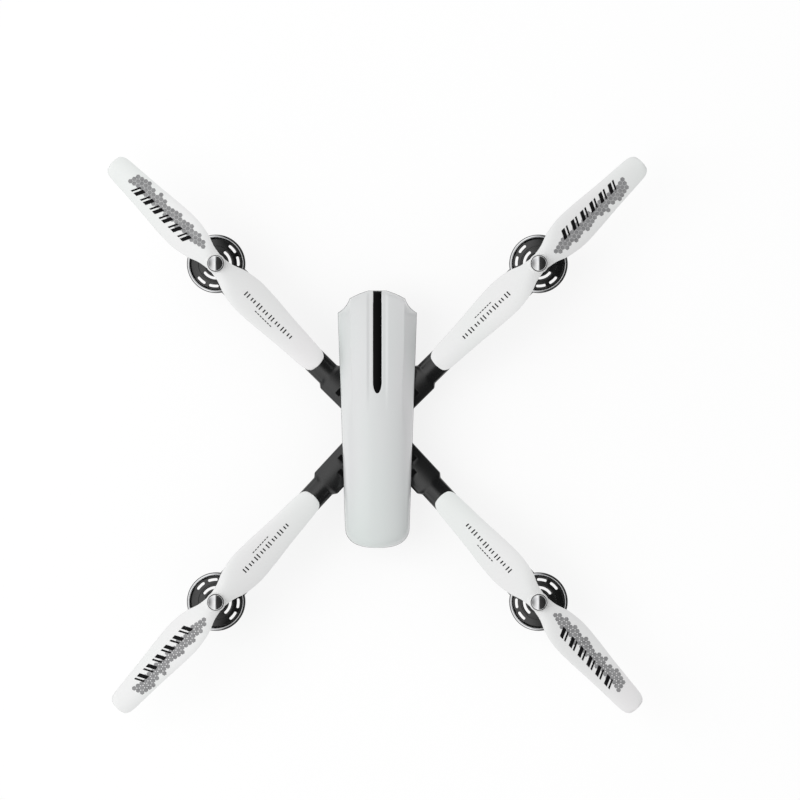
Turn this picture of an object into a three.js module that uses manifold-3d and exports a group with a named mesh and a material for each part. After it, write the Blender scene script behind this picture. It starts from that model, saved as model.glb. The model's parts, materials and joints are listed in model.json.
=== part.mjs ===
// Folding camera quadcopter: a slim two-deck hull, four arms that swing between the decks on
// vertical pins, two-blade propellers, a tilting nose camera and a battery that slides out of the tail.
// Millimetres, +Z up, +Y towards the nose. The origin is on the ground below the middle of the four motors.
import * as THREE from 'three';
import { mergeVertices } from 'three/addons/utils/BufferGeometryUtils.js';
import Module from 'manifold-3d';

const wasm = await Module();
wasm.setup();

// ---- Driving dimensions -------------------------------------------------------------------------

const MOTOR_X = 96; // motor axes, each side of the centre line
const MOTOR_Y = 100.6; // motor axes, ahead of and behind the origin
const FRONT_PIVOT = { x: 15.3, y: 21.1 }; // fold pins of the front arms
const REAR_PIVOT = { x: 14, y: -12.1 }; // fold pins of the rear arms

const GAP = 0.3; // between neighbouring pieces
const PIN_R = 2.6;
const PIN_HOLE_R = PIN_R + GAP;

// Heights above the ground, from the belly up.
const Z = {
  belly: 8,
  bayFloor: 9.4,
  bayTop: 21,
  lowerDeck: 24,
  armBottom: 24.5,
  armTop: 32.5,
  shellBottom: 33.1,
  deckTop: 34.9,
  shoulder: 37,
  crown: 50,
};

const HULL = {
  nose: 84.6,
  noseHalf: 5,
  shoulderY: 71.3,
  shoulderHalf: 23.4,
  roundFrom: -55,
  roundHalf: 19.1,
  tail: -68.5,
};
const SHELL_T = 1.6;
const CREASE_X = 16.2; // crease between the crowned top and the side facets
const STRIPE = { half: 2.53, end: 23.5, taper: 6.9, depth: 1.4 };

const ARM = { half: 7.45, rootHalf: 9.3, step: 96.2, flare: 10, riseFrom: 22, riseTo: 44 };
const POCKET = { near: 8.2, far: 14.4, aside: 2.9, halfLength: 1.6, halfWidth: 2.2, depth: 1.4 };
const POD = {
  ring: 17.4,
  wall: 15.5,
  bottom: 33,
  plate: 39,
  top: 41,
  rim: 42,
  sleeve: 7.3,
  bore: 6.3,
  floor: 26,
};
const SLOT = { width: 1.7, innerR: 8.5, outerR: 13.2 }; // cooling slots in the motor pods
const LED = { r: 12, width: 5.6, from: 124, to: 236 }; // light band under each pod, in degrees
const MOTOR = { r: 6, bottom: 28.3, top: 47.5, shaft: 1 };
const PROP = { r: 86, hubR: 5.7, hubBottom: 50.4, hubTop: 56, bladeZ: 53.4 };
const CAP = { r: 4.9, seat: 1, domeR: 4.45, wall: 2.9, top: 4.7 }; // heights above the cap's own base
const CAMERA = { y: 65, z: 15.5, r: 8.2, half: 10.4, lensR: 5.2, reach: 10 };
const BATTERY = { half: 14.4, front: 18, back: -53, corner: 1.6 };
const LATCH = { half: 5, back: -62.2, front: -57.2, bottom: 13.4, top: 17 };
const SENSOR = { y: 33, r: 3.8 }; // the belly's downward window
const BELLY_SCREWS = [[9.5, 40], [-9.5, 40], [8.5, 24.5], [-8.5, 24.5]];
const BUTTON = { z: 38.2, r: 2.3, hole: 2.7, length: 4.2 };

const WHITE = { color: 0xdde1df, roughness: 0.32, metalness: 0 };
const BLACK = { color: 0x1c1e1f, roughness: 0.4, metalness: 0 };
const GLOSS_BLACK = { color: 0x070809, roughness: 0.12, metalness: 0 };
const CHROME = { color: 0xc9cbcc, roughness: 0.12, metalness: 1 };
const STEEL = { color: 0x9a9c9e, roughness: 0.3, metalness: 1 };
const RUBBER = { color: 0x151515, roughness: 0.85, metalness: 0 };
const BOARD = { color: 0x1d5a34, roughness: 0.5, metalness: 0 };
const CERAMIC = { color: 0xc9b48c, roughness: 0.6, metalness: 0 };
const CELL = { color: 0x2c3e63, roughness: 0.5, metalness: 0 };
const GLASS = { color: 0x10151c, roughness: 0.05, metalness: 0 };
const LED_RED = { color: 0xd8362c, roughness: 0.25, metalness: 0 };
const LED_GREEN = { color: 0x3fd06a, roughness: 0.25, metalness: 0 };

// ---- Solids and booleans ------------------------------------------------------------------------

const radians = THREE.MathUtils.degToRad;
const lerp = THREE.MathUtils.lerp;
const smoothstep = THREE.MathUtils.smoothstep;

// A closed geometry as a manifold-3d solid, turned face-out if it was built inside out.
function solid(geometry) {
  const bare = (geometry.index ? geometry.toNonIndexed() : geometry.clone());
  bare.deleteAttribute('normal');
  bare.deleteAttribute('uv');
  const merged = mergeVertices(bare, 1e-4);
  const triVerts = new Uint32Array(merged.index.array);
  const vertProperties = merged.attributes.position.array;
  const made = new wasm.Manifold(new wasm.Mesh({ numProp: 3, vertProperties, triVerts }));
  if (made.volume() >= 0) return made;
  for (let i = 0; i < triVerts.length; i += 3) {
    [triVerts[i + 1], triVerts[i + 2]] = [triVerts[i + 2], triVerts[i + 1]];
  }
  return new wasm.Manifold(new wasm.Mesh({ numProp: 3, vertProperties, triVerts }));
}

function toGeometry(body) {
  const mesh = body.getMesh();
  const positions = new Float32Array(mesh.numVert * 3);
  for (let i = 0; i < mesh.numVert; i++) {
    positions.set(mesh.vertProperties.subarray(i * mesh.numProp, i * mesh.numProp + 3), i * 3);
  }
  const geometry = new THREE.BufferGeometry();
  geometry.setAttribute('position', new THREE.BufferAttribute(positions, 3));
  geometry.setIndex(new THREE.BufferAttribute(mesh.triVerts, 1));
  geometry.computeVertexNormals();
  return geometry;
}

const join = (...parts) => parts.reduce((whole, part) => whole.add(part));
const cut = (body, ...tools) => tools.reduce((left, tool) => left.subtract(tool), body);

// A box between two corners.
function box(x0, y0, z0, x1, y1, z1) {
  const geometry = new THREE.BoxGeometry(x1 - x0, y1 - y0, z1 - z0);
  return solid(geometry.translate((x0 + x1) / 2, (y0 + y1) / 2, (z0 + z1) / 2));
}

// An upright cylinder or cone.
function post(x, y, z0, z1, r0, r1 = r0, segments = 24) {
  const geometry = new THREE.CylinderGeometry(r1, r0, z1 - z0, segments);
  return solid(geometry.rotateX(Math.PI / 2).translate(x, y, (z0 + z1) / 2));
}

// A cylinder lying along X or Y.
function bar(axis, from, to, a, b, r, segments = 20) {
  const geometry = new THREE.CylinderGeometry(r, r, to - from, segments);
  const middle = (from + to) / 2;
  if (axis === 'x') return solid(geometry.rotateZ(Math.PI / 2).translate(middle, a, b));
  return solid(geometry.translate(a, middle, b));
}

// A flat outline raised from z0 to z1.
function prism(shape, z0, z1, curveSegments = 12) {
  const geometry = new THREE.ExtrudeGeometry(shape, { depth: z1 - z0, bevelEnabled: false, curveSegments });
  return solid(geometry.translate(0, 0, z0));
}

// A profile of [radius, height] points turned about Z.
function turned(profile, segments = 24) {
  const points = profile.map(([r, z]) => new THREE.Vector2(r, z));
  return solid(new THREE.LatheGeometry(points, segments).rotateX(Math.PI / 2));
}

// A skin over rings that all have the same number of points, closed at both ends.
function loft(rings) {
  const n = rings[0].length;
  const positions = rings.flat().flatMap((p) => [p.x, p.y, p.z]);
  const index = [];
  for (let i = 0; i < rings.length - 1; i++) {
    for (let j = 0; j < n; j++) {
      const a = i * n + j;
      const b = i * n + ((j + 1) % n);
      index.push(a, b, b + n, a, b + n, a + n);
    }
  }
  [0, rings.length - 1].forEach((ring, end) => {
    const flat = flattened(rings[ring]);
    for (const face of THREE.ShapeUtils.triangulateShape(flat, [])) {
      const [a, b, c] = face.map((k) => ring * n + k);
      if ((THREE.ShapeUtils.area(flat) > 0) === (end === 1)) index.push(a, b, c);
      else index.push(a, c, b);
    }
  });
  const geometry = new THREE.BufferGeometry();
  geometry.setAttribute('position', new THREE.Float32BufferAttribute(positions, 3));
  geometry.setIndex(index);
  return solid(geometry);
}

// A ring as 2-D points, seen along the direction in which the ring is thinnest.
function flattened(ring) {
  const size = new THREE.Box3().setFromPoints(ring).getSize(new THREE.Vector3());
  const thin = Math.min(size.x, size.y, size.z);
  if (thin === size.z) return ring.map((p) => new THREE.Vector2(p.x, p.y));
  if (thin === size.y) return ring.map((p) => new THREE.Vector2(p.z, p.x));
  return ring.map((p) => new THREE.Vector2(p.y, p.z));
}

function piece(name, body, look) {
  const mesh = new THREE.Mesh(toGeometry(body), new THREE.MeshStandardMaterial(look));
  mesh.name = name;
  return mesh;
}

// ---- Hull ---------------------------------------------------------------------------------------

// The hull's outline as [y, half width] from nose to tail: a blunt nose, a scooped shoulder each
// side, a long taper and a rounded tail.
function hullStations() {
  const stations = [];
  const nose = new THREE.QuadraticBezierCurve(
    new THREE.Vector2(HULL.nose, HULL.noseHalf),
    new THREE.Vector2(HULL.nose - 1.7, 11),
    new THREE.Vector2(79.8, CREASE_X + 0.2),
  );
  const scoop = new THREE.QuadraticBezierCurve(
    new THREE.Vector2(79.8, CREASE_X + 0.2),
    new THREE.Vector2(74.2, 18.2),
    new THREE.Vector2(HULL.shoulderY, HULL.shoulderHalf),
  );
  for (const p of nose.getPoints(3)) stations.push([p.x, p.y]);
  for (const p of scoop.getPoints(4).slice(1)) stations.push([p.x, p.y]);
  const { roundFrom, roundHalf, shoulderY, shoulderHalf, tail } = HULL;
  for (const y of [56, 38, 18, -8, -34]) {
    stations.push([y, lerp(roundHalf, shoulderHalf, (y - roundFrom) / (shoulderY - roundFrom))]);
  }
  const depth = roundFrom - tail;
  for (let i = 0; i <= 5; i++) {
    const t = Math.sin((Math.PI / 2) * (i / 5.25));
    stations.push([roundFrom - depth * t, roundHalf * (1 - t ** 2.5) ** (1 / 2.5)]);
  }
  return stations;
}

// Height of the hull's centre line: low at the nose and rounded at the tail.
const crownLine = new THREE.SplineCurve([
  new THREE.Vector2(86, 42.6),
  new THREE.Vector2(72, 46.2),
  new THREE.Vector2(45, 49),
  new THREE.Vector2(8, Z.crown),
  new THREE.Vector2(-30, 49.6),
  new THREE.Vector2(-54, 47.8),
  new THREE.Vector2(-66, 45),
  new THREE.Vector2(-70, 43),
]);

function crownAt(y) {
  let low = 0;
  let high = 1;
  for (let i = 0; i < 24; i++) {
    const middle = (low + high) / 2;
    if (crownLine.getPoint(middle).x > y) low = middle;
    else high = middle;
  }
  return crownLine.getPoint(low).y;
}

// Height of the top surface: creased facets near the nose, which soften to a round section behind.
function topHeight(x, y, half, shoulder, crown) {
  const crease = Math.min(CREASE_X, half * 0.96);
  const creaseHeight = crown - 0.22 * (crown - shoulder);
  const away = Math.abs(x);
  const round = shoulder + (crown - shoulder) * Math.sqrt(Math.max(0, 1 - (away / half) ** 2.6));
  const facet = away > crease
    ? lerp(creaseHeight, shoulder, (away - crease) / (half - crease))
    : crown - (crown - creaseHeight) * (away / crease) ** 2;
  return lerp(round, facet, smoothstep(y, 0, 42));
}

// One cross-section of the hull above the arms, inset by the wall thickness.
function hullSection(y, fullHalf, inset) {
  const half = Math.max(fullHalf - inset, 0.6);
  const crown = crownAt(y) - inset;
  const shoulder = Math.min(Z.shoulder, crown - 4) - inset * 0.4;
  const bottom = inset > 0 ? Z.shellBottom - 3 : Z.shellBottom;
  const crease = Math.min(CREASE_X, half * 0.7);
  const across = [];
  for (let i = 0; i <= 3; i++) across.push((crease * i) / 3);
  for (let i = 1; i <= 3; i++) across.push(crease + (half - crease) * Math.sin((Math.PI / 6) * i));
  const rightSide = across.map((x) => new THREE.Vector3(x, y, topHeight(x, y, half, shoulder, crown)));
  rightSide.push(new THREE.Vector3(half - Math.min(1.2, half * 0.1), y, bottom));
  const leftSide = rightSide.slice(1).reverse().map((p) => new THREE.Vector3(-p.x, y, p.z));
  return [...leftSide, ...rightSide];
}

function hullBody(inset) {
  const rings = hullStations()
    .filter(([y]) => y < HULL.nose - inset * 0.5 && y > HULL.tail + inset)
    .map(([y, half]) => hullSection(y, half, inset));
  if (inset === 0) rings.unshift(hullSection(HULL.nose, HULL.noseHalf, 0));
  return loft(rings);
}

// The hull's outline at an inset, as a flat shape.
function hullShape(inset, front, back) {
  const side = hullStations().filter(([y]) => y < front && y > back)
    .map(([y, half]) => new THREE.Vector2(half - inset, y));
  const other = side.map((p) => new THREE.Vector2(-p.x, p.y)).reverse();
  return new THREE.Shape([...side, ...other]);
}

// The black strip's outline: parallel sides from the nose back to a half-elliptical end.
function stripeShape(grow) {
  const half = STRIPE.half + grow;
  const shape = new THREE.Shape();
  shape.moveTo(half, HULL.nose + 2);
  shape.lineTo(half, STRIPE.end + STRIPE.taper);
  shape.absellipse(0, STRIPE.end + STRIPE.taper, half, STRIPE.taper + grow, 0, -Math.PI, true);
  shape.lineTo(-half, HULL.nose + 2);
  return shape;
}

function hullPieces() {
  const outer = hullBody(0);
  const channel = prism(stripeShape(GAP), Z.deckTop + 4, Z.crown + 5, 8);
  const buttonHole = bar('y', HULL.tail - 1, HULL.tail + 8, 0, BUTTON.z, BUTTON.hole);
  const shell = cut(outer, hullBody(SHELL_T), channel, buttonHole);

  const strip = prism(stripeShape(0), Z.deckTop + 4, Z.crown + 5, 8).intersect(outer);
  const under = outer.translate([0, -STRIPE.depth, -STRIPE.depth]);

  const deck = cut(
    prism(hullShape(2.6, 78, -64), Z.shellBottom + 0.2, Z.deckTop),
    ...[FRONT_PIVOT, REAR_PIVOT].flatMap(({ x, y }) => [-x, x].map(
      (side) => post(side, y, Z.shellBottom - 1, Z.deckTop + 1, PIN_HOLE_R, PIN_HOLE_R, 16),
    )),
  );
  return [
    piece('top_shell', shell, WHITE),
    piece('top_stripe', strip.subtract(under), GLOSS_BLACK),
    piece('upper_deck', deck, BLACK),
  ];
}

// ---- Lower hull, spine and fasteners ------------------------------------------------------------

// The lower hull's outline, scaled across and drawn in at both ends.
function bellySection(z, scale, drawIn) {
  const side = new THREE.SplineCurve([
    new THREE.Vector2(0, 50 - drawIn),
    new THREE.Vector2(9 * scale, 50 - drawIn),
    new THREE.Vector2(14.5 * scale, 46 - drawIn),
    new THREE.Vector2(19.6 * scale, 26),
    new THREE.Vector2(20 * scale, 5),
    new THREE.Vector2(19.2 * scale, -25),
    new THREE.Vector2(17.5 * scale, -52 + drawIn),
    new THREE.Vector2(13 * scale, -60.5 + drawIn),
    new THREE.Vector2(0, -63 + drawIn),
  ]).getPoints(14).slice(1, -1);
  const right = side.map((p) => new THREE.Vector3(p.x, p.y, z));
  const left = side.map((p) => new THREE.Vector3(-p.x, p.y, z)).reverse();
  return [...right, ...left];
}

function bellyBody() {
  return loft([
    bellySection(Z.belly, 0.7, 6),
    bellySection(Z.belly + 1.6, 0.84, 2.4),
    bellySection(Z.belly + 6, 0.94, 0.6),
    bellySection(Z.lowerDeck, 1, 0),
  ]);
}

function lowerHullPieces() {
  const belly = bellyBody();
  const bay = box(-BATTERY.half - 0.5, -70, Z.bayFloor, BATTERY.half + 0.5, BATTERY.front + 1, Z.bayTop);
  const tail = box(-30, -70, 0, 30, BATTERY.back - GAP, Z.bayTop);
  const pinHoles = [FRONT_PIVOT, REAR_PIVOT].flatMap(({ x, y }) => [-x, x].map(
    (side) => post(side, y, Z.bayTop + 0.8, Z.lowerDeck + 1, PIN_HOLE_R, PIN_HOLE_R, 16),
  ));
  const screwHoles = BELLY_SCREWS.map(([x, y]) => post(x, y, Z.belly - 1, Z.belly + 2.2, 2.1, 2.1, 16));
  const sensorHole = post(0, SENSOR.y, Z.belly - 1, Z.belly + 3.4, SENSOR.r + GAP);
  const frontRoom = box(-9, 24, Z.belly + 3.6, 9, 44, Z.lowerDeck - 2.4);
  const mouth = box(-4, 43, Z.belly + 6, 4, 56, Z.belly + 9);
  const hull = cut(belly, bay, tail, ...pinHoles, ...screwHoles, sensorHole, frontRoom, mouth);

  const capBlank = belly.intersect(box(-30, -70, 0, 30, BATTERY.back - 2 * GAP, Z.bayTop - GAP));
  const { half, back, front, bottom, top } = LATCH;
  const latchPocket = box(-half - 0.4, -70, bottom - 0.4, half + 0.4, front + 2, top + 0.4);
  const latch = box(-half, back, bottom, half, front, top)
    .subtract(box(1.4 - half, back - 1, bottom + 1.4, half - 1.4, back + 0.4, top - 1.4));

  const pins = [FRONT_PIVOT, REAR_PIVOT].flatMap(({ x, y }, row) => [-x, x].map((side) => piece(
    `arm_pin_${row ? 'rear' : 'front'}_${side < 0 ? 'left' : 'right'}`,
    post(side, y, Z.bayTop + 1.1, Z.deckTop + 0.6, PIN_R, PIN_R, 16),
    STEEL,
  )));
  const screws = BELLY_SCREWS.map(([x, y], i) => piece(
    `belly_screw_${i + 1}`,
    post(x, y, Z.belly + 0.3, Z.belly + 1.9, 1.8, 1.8, 12)
      .subtract(box(x - 1.2, y - 0.25, Z.belly, x + 1.2, y + 0.25, Z.belly + 0.9)),
    STEEL,
  ));

  return {
    root: [
      piece('lower_hull', hull, BLACK),
      piece('hull_spine', spineBody(), BLACK),
      piece('flow_sensor', post(0, SENSOR.y, Z.belly + GAP, Z.belly + 3.1, SENSOR.r), GLASS),
      ...pins,
      ...screws,
    ],
    battery: [
      piece('battery_pack', batteryBody(), CELL),
      piece('battery_cap', capBlank.subtract(latchPocket), BLACK),
    ],
    latch: [piece('battery_latch', latch, GLOSS_BLACK)],
  };
}

// The upright web that joins the two decks, wider at the nose and the tail, clear of the folded arms.
function spineBody() {
  const bottom = Z.lowerDeck + GAP;
  const top = Z.shellBottom - 0.1;
  const web = 3.4;
  const wider = (stations) => loft(stations.map(([y, half]) => [
    new THREE.Vector3(-half, y, bottom),
    new THREE.Vector3(half, y, bottom),
    new THREE.Vector3(half, y, top),
    new THREE.Vector3(-half, y, top),
  ]));
  return join(
    box(-web, -58, bottom, web, 58, top),
    wider([[62, web], [58, 6.2], [50, 6.4], [44, web]]),
    wider([[-40, web], [-45, 5], [-56, 5], [-61, web]]),
  );
}

// Two pouch cells in a sleeve, with a rounded rectangular section.
function batteryBody() {
  const half = BATTERY.half;
  const bottom = Z.bayFloor + 0.4;
  const height = Z.bayTop - 0.4 - bottom;
  const r = BATTERY.corner;
  const shape = new THREE.Shape();
  shape.moveTo(-half + r, 0);
  shape.lineTo(half - r, 0);
  shape.absarc(half - r, r, r, -Math.PI / 2, 0);
  shape.absarc(half - r, height - r, r, 0, Math.PI / 2);
  shape.absarc(-half + r, height - r, r, Math.PI / 2, Math.PI);
  shape.absarc(-half + r, r, r, Math.PI, 1.5 * Math.PI);
  const depth = BATTERY.front - BATTERY.back;
  const geometry = new THREE.ExtrudeGeometry(shape, { depth, bevelEnabled: false, curveSegments: 3 });
  return solid(geometry.rotateX(Math.PI / 2).translate(0, BATTERY.front, bottom));
}

// ---- Electronics --------------------------------------------------------------------------------

function electronicsPieces() {
  const base = Z.deckTop + 1.6;
  const board = join(
    box(-13, -38, base, 13, 52, base + 1.4),
    box(-5, -4, base, 5, 6, base + 3),
    box(-9, -26, base, -1, -14, base + 2.6),
    box(3, -30, base, 10, -12, base + 3.4),
    box(-4, 40, base, 4, 50, base + 4),
    ...[[-11, -35], [11, -35], [-11, 49], [11, 49]].map(
      ([x, y]) => post(x, y, Z.deckTop + GAP, base + 0.5, 1.8, 1.8, 10),
    ),
  );
  const gps = join(
    box(-9, 14, base + 1.7, 9, 32, base + 3.4),
    box(-8, 15, base + 3, 8, 31, base + 6.4),
  );
  return [piece('main_board', board, BOARD), piece('gps_module', gps, CERAMIC)];
}

function powerButtonPiece() {
  const key = bar('y', HULL.tail + 0.2, HULL.tail + 0.2 + BUTTON.length, 0, BUTTON.z, BUTTON.r);
  return piece('power_button', key, GLOSS_BLACK);
}

// ---- Camera -------------------------------------------------------------------------------------

function cameraYoke() {
  const { y, z } = CAMERA;
  const inner = CAMERA.half + 0.4;
  const outer = inner + 2.2;
  const cheek = new THREE.Shape();
  cheek.moveTo(50.4, z - 5.5);
  cheek.lineTo(y, z - 5.5);
  cheek.absarc(y, z, 5.5, -Math.PI / 2, Math.PI / 2);
  cheek.lineTo(50.4, z + 7);
  const side = (x) => {
    const thick = { depth: outer - inner, bevelEnabled: false, curveSegments: 8 };
    const geometry = new THREE.ExtrudeGeometry(cheek, thick);
    return solid(geometry.rotateX(Math.PI / 2).rotateZ(Math.PI / 2).translate(x, 0, 0));
  };
  return cut(
    join(side(inner), side(-outer), box(-outer, 50.4, z - 5.5, outer, 54, z + 7)),
    bar('x', -20, 20, y, z, 2.4),
  );
}

function cameraPieces() {
  const { y, z, r, half, lensR, reach } = CAMERA;
  const pod = cut(
    join(
      bar('x', -half, half, y, z, r, 28),
      bar('x', -half - 2, half + 2, y, z, 2),
      bar('y', y, y + r - 0.6, 0, z, lensR + 1.6, 24),
    ),
    bar('y', y + 3, y + reach + 2, 0, z, lensR + GAP, 24),
  );
  const barrel = cut(
    bar('y', y + 3.3, y + reach, 0, z, lensR, 24),
    bar('y', y + reach - 1.8, y + reach + 1, 0, z, 4.2, 24),
  );
  const dome = new THREE.SphereGeometry(3.9, 16, 6, 0, 2 * Math.PI, 0, Math.PI);
  const glass = solid(dome.scale(1, 0.3, 1).translate(0, y + reach - 1.6 + 1.2, z));
  return [
    piece('camera_body', pod, BLACK),
    piece('lens_barrel', barrel, GLOSS_BLACK),
    piece('lens_glass', glass, GLASS),
  ];
}

// ---- Arms: built along +X from the motor axis to the fold pin ------------------------------------

function armShape(reach) {
  const { step } = ARM;
  const outline = (s) => [
    new THREE.Vector2(0, s * ARM.flare),
    new THREE.Vector2(21, s * ARM.flare),
    new THREE.Vector2(28, s * (ARM.flare - 0.9)),
    new THREE.Vector2(38, s * (ARM.half + 0.3)),
    new THREE.Vector2(50, s * ARM.half),
    new THREE.Vector2(step - 3.5, s * ARM.half),
    new THREE.Vector2(step - 1.6, s * (ARM.half + 0.3)),
    new THREE.Vector2(step - 0.4, s * (ARM.half + 0.9)),
    new THREE.Vector2(step, s * (ARM.rootHalf - 0.4)),
    new THREE.Vector2(step + 0.8, s * ARM.rootHalf),
  ];
  const shape = new THREE.Shape(outline(-1));
  shape.absarc(reach, 0, ARM.rootHalf, -Math.PI / 2, Math.PI / 2);
  for (const p of outline(1).reverse()) shape.lineTo(p.x, p.y);
  return shape;
}

// The arm seen from the side: level between the decks, rising to the motor pod.
function armSide(reach) {
  const end = reach + ARM.rootHalf + 1;
  const shape = new THREE.Shape();
  shape.moveTo(end, Z.armBottom);
  shape.lineTo(end, Z.armTop);
  shape.lineTo(ARM.riseTo, Z.armTop);
  shape.bezierCurveTo(ARM.riseTo - 8, Z.armTop, ARM.riseFrom + 6, POD.top, ARM.riseFrom - 5, POD.top);
  shape.lineTo(0, POD.top);
  shape.lineTo(0, POD.bottom);
  shape.lineTo(ARM.riseFrom - 4, POD.bottom);
  shape.bezierCurveTo(ARM.riseFrom + 5, POD.bottom, ARM.riseTo - 9, Z.armBottom, ARM.riseTo, Z.armBottom);
  const depth = 2 * ARM.flare + 2;
  const geometry = new THREE.ExtrudeGeometry(shape, { depth, bevelEnabled: false, curveSegments: 8 });
  return solid(geometry.rotateX(Math.PI / 2).translate(0, depth / 2, 0));
}

// An arc-shaped slot of a given middle radius and width, between two angles.
function arcSlot(radius, width, from, to) {
  const shape = new THREE.Shape();
  const outer = radius + width / 2;
  const inner = radius - width / 2;
  const end = (angle, start) => shape.absarc(
    radius * Math.cos(angle), radius * Math.sin(angle), width / 2, start, start + Math.PI,
  );
  shape.absarc(0, 0, outer, from, to);
  end(to, to);
  shape.absarc(0, 0, inner, to, from, true);
  end(from, from + Math.PI);
  return shape;
}

// The cooling slots on each side of the arm's line: a long inner arc and two short outer ones.
function podSlots() {
  const slots = [];
  for (const side of [-1, 1]) {
    const along = (a, b) => [radians(side * a), radians(side * b)].sort((p, q) => p - q);
    slots.push(arcSlot(SLOT.innerR, SLOT.width, ...along(42.7, 96.3)));
    for (const middle of [51.5, 87]) {
      slots.push(arcSlot(SLOT.outerR, SLOT.width, ...along(middle - 9.3, middle + 9.3)));
    }
  }
  return slots.map((shape) => prism(shape, POD.bottom - 8, POD.rim + 2, 3));
}

// `hand` is the side on which the pocket nearer to the pin lies. A front arm has only that pocket.
function armBody(reach, hand, isFront) {
  const beam = prism(armShape(reach), Z.armBottom - 1, POD.rim, 7).intersect(armSide(reach));
  const well = post(0, 0, Z.armBottom - 2, POD.rim + 1, POD.wall, POD.wall, 32);
  const ring = cut(post(0, 0, POD.bottom, POD.top, POD.ring, POD.ring, 32), well);
  const plate = post(0, 0, POD.plate, POD.top, POD.wall + 0.3, POD.wall + 0.3, 32);
  const sleeve = post(0, 0, POD.floor, POD.top, POD.sleeve, POD.sleeve, 16);
  const rib = box(POD.sleeve - 2, -3.4, POD.bottom, POD.wall + 1, 3.4, POD.plate + 0.5);
  const lampBand = arcSlot(LED.r, LED.width + 0.8, radians(LED.from - 2), radians(LED.to + 2));
  const lampBox = prism(lampBand, POD.bottom + 2.4, POD.plate + 0.5, 4);
  const { near, far, aside, halfLength, halfWidth } = POCKET;
  const nearPocket = [near, aside * hand];
  const places = isFront ? [nearPocket] : [nearPocket, [far, -aside * hand]];
  const pockets = places.map(([back, v]) => {
    const u = reach - back;
    return box(
      u - halfLength, v - halfWidth, Z.armTop - POCKET.depth,
      u + halfLength, v + halfWidth, Z.armTop + 1,
    );
  });
  return cut(
    join(beam.subtract(well), ring, plate, sleeve, rib, lampBox),
    post(0, 0, POD.floor + 2, POD.rim + 5, POD.bore, POD.bore, 16),
    post(reach, 0, Z.armBottom - 1, Z.armTop + 1, PIN_HOLE_R, PIN_HOLE_R, 16),
    ...podSlots(),
    ...pockets,
  );
}

function armPieces(corner, reach, hand, isFront) {
  const base = POD.top + GAP;
  const crest = POD.rim - 0.1;
  const ring = turned([
    [15.7, base], [17.2, base], [17.2, base + 0.3], [16.8, crest], [16.1, crest], [15.7, base + 0.3],
    [15.7, base],
  ], 32);
  const motor = turned([
    [0, MOTOR.bottom], [MOTOR.r, MOTOR.bottom], [MOTOR.r, MOTOR.top - 1], [MOTOR.r - 1, MOTOR.top],
    [2.6, MOTOR.top], [2.6, MOTOR.top + 0.8], [MOTOR.shaft + 0.4, MOTOR.top + 0.8],
    [MOTOR.shaft + 0.4, MOTOR.top - 3], [0, MOTOR.top - 3],
  ], 16);
  const lensBand = arcSlot(LED.r, LED.width, radians(LED.from), radians(LED.to));
  const lens = prism(lensBand, POD.bottom - 0.4, POD.bottom + 2.1, 4);
  const leg = turned([
    [0, 3.4], [3, 3.4], [2.9, 8], [3.6, 15], [5.4, 22], [6.6, POD.floor - GAP], [0, POD.floor - GAP],
  ], 16);
  const pad = turned([[0, 0], [3.6, 0], [4.2, 0.8], [4.2, 2.2], [3.4, 3.1], [0, 3.1]], 16);
  return [
    piece(`arm_${corner}`, armBody(reach, hand, isFront), BLACK),
    piece(`pod_ring_${corner}`, ring, CHROME),
    piece(`motor_${corner}`, motor, STEEL),
    piece(`led_lens_${corner}`, lens, corner.startsWith('front') ? LED_RED : LED_GREEN),
    piece(`leg_${corner}`, leg, BLACK),
    piece(`foot_pad_${corner}`, pad, RUBBER),
  ];
}

// ---- Propellers: two blades along X, turning about Z ---------------------------------------------

// Half the blade's width seen from above, from the hub to the tip.
const bladeHalf = new THREE.SplineCurve([
  new THREE.Vector2(0, 5.3),
  new THREE.Vector2(8, 6.6),
  new THREE.Vector2(16, 9.5),
  new THREE.Vector2(27, 11.1),
  new THREE.Vector2(40, 10.6),
  new THREE.Vector2(56, 9.2),
  new THREE.Vector2(71, 8.2),
  new THREE.Vector2(80, 7.3),
  new THREE.Vector2(84.1, 5.6),
  new THREE.Vector2(PROP.r, 1.6),
]);

// One blade, pitched so that its leading edge is high for a propeller that turns by `spin`.
function blade(spin) {
  const rings = [];
  for (const t of [0, 0.12, 0.24, 0.36, 0.5, 0.65, 0.8, 0.88, 0.95, 1]) {
    const { x: r, y: half } = bladeHalf.getPoint(t);
    const pitch = spin * radians(lerp(13, 6, smoothstep(r, 20, PROP.r)) * smoothstep(r, -6, 20));
    const thick = lerp(1.9, 0.9, r / PROP.r);
    rings.push([[-1, 0], [-0.5, 0.46], [0, 0.62], [0.5, 0.46], [1, 0], [0, -0.36]]
      .map(([u, w]) => new THREE.Vector3(
        r,
        u * half - w * thick * Math.sin(pitch),
        PROP.bladeZ + u * half * Math.tan(pitch) + w * thick + 0.5 * (1 - u * u),
      )));
  }
  return loft(rings);
}

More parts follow.
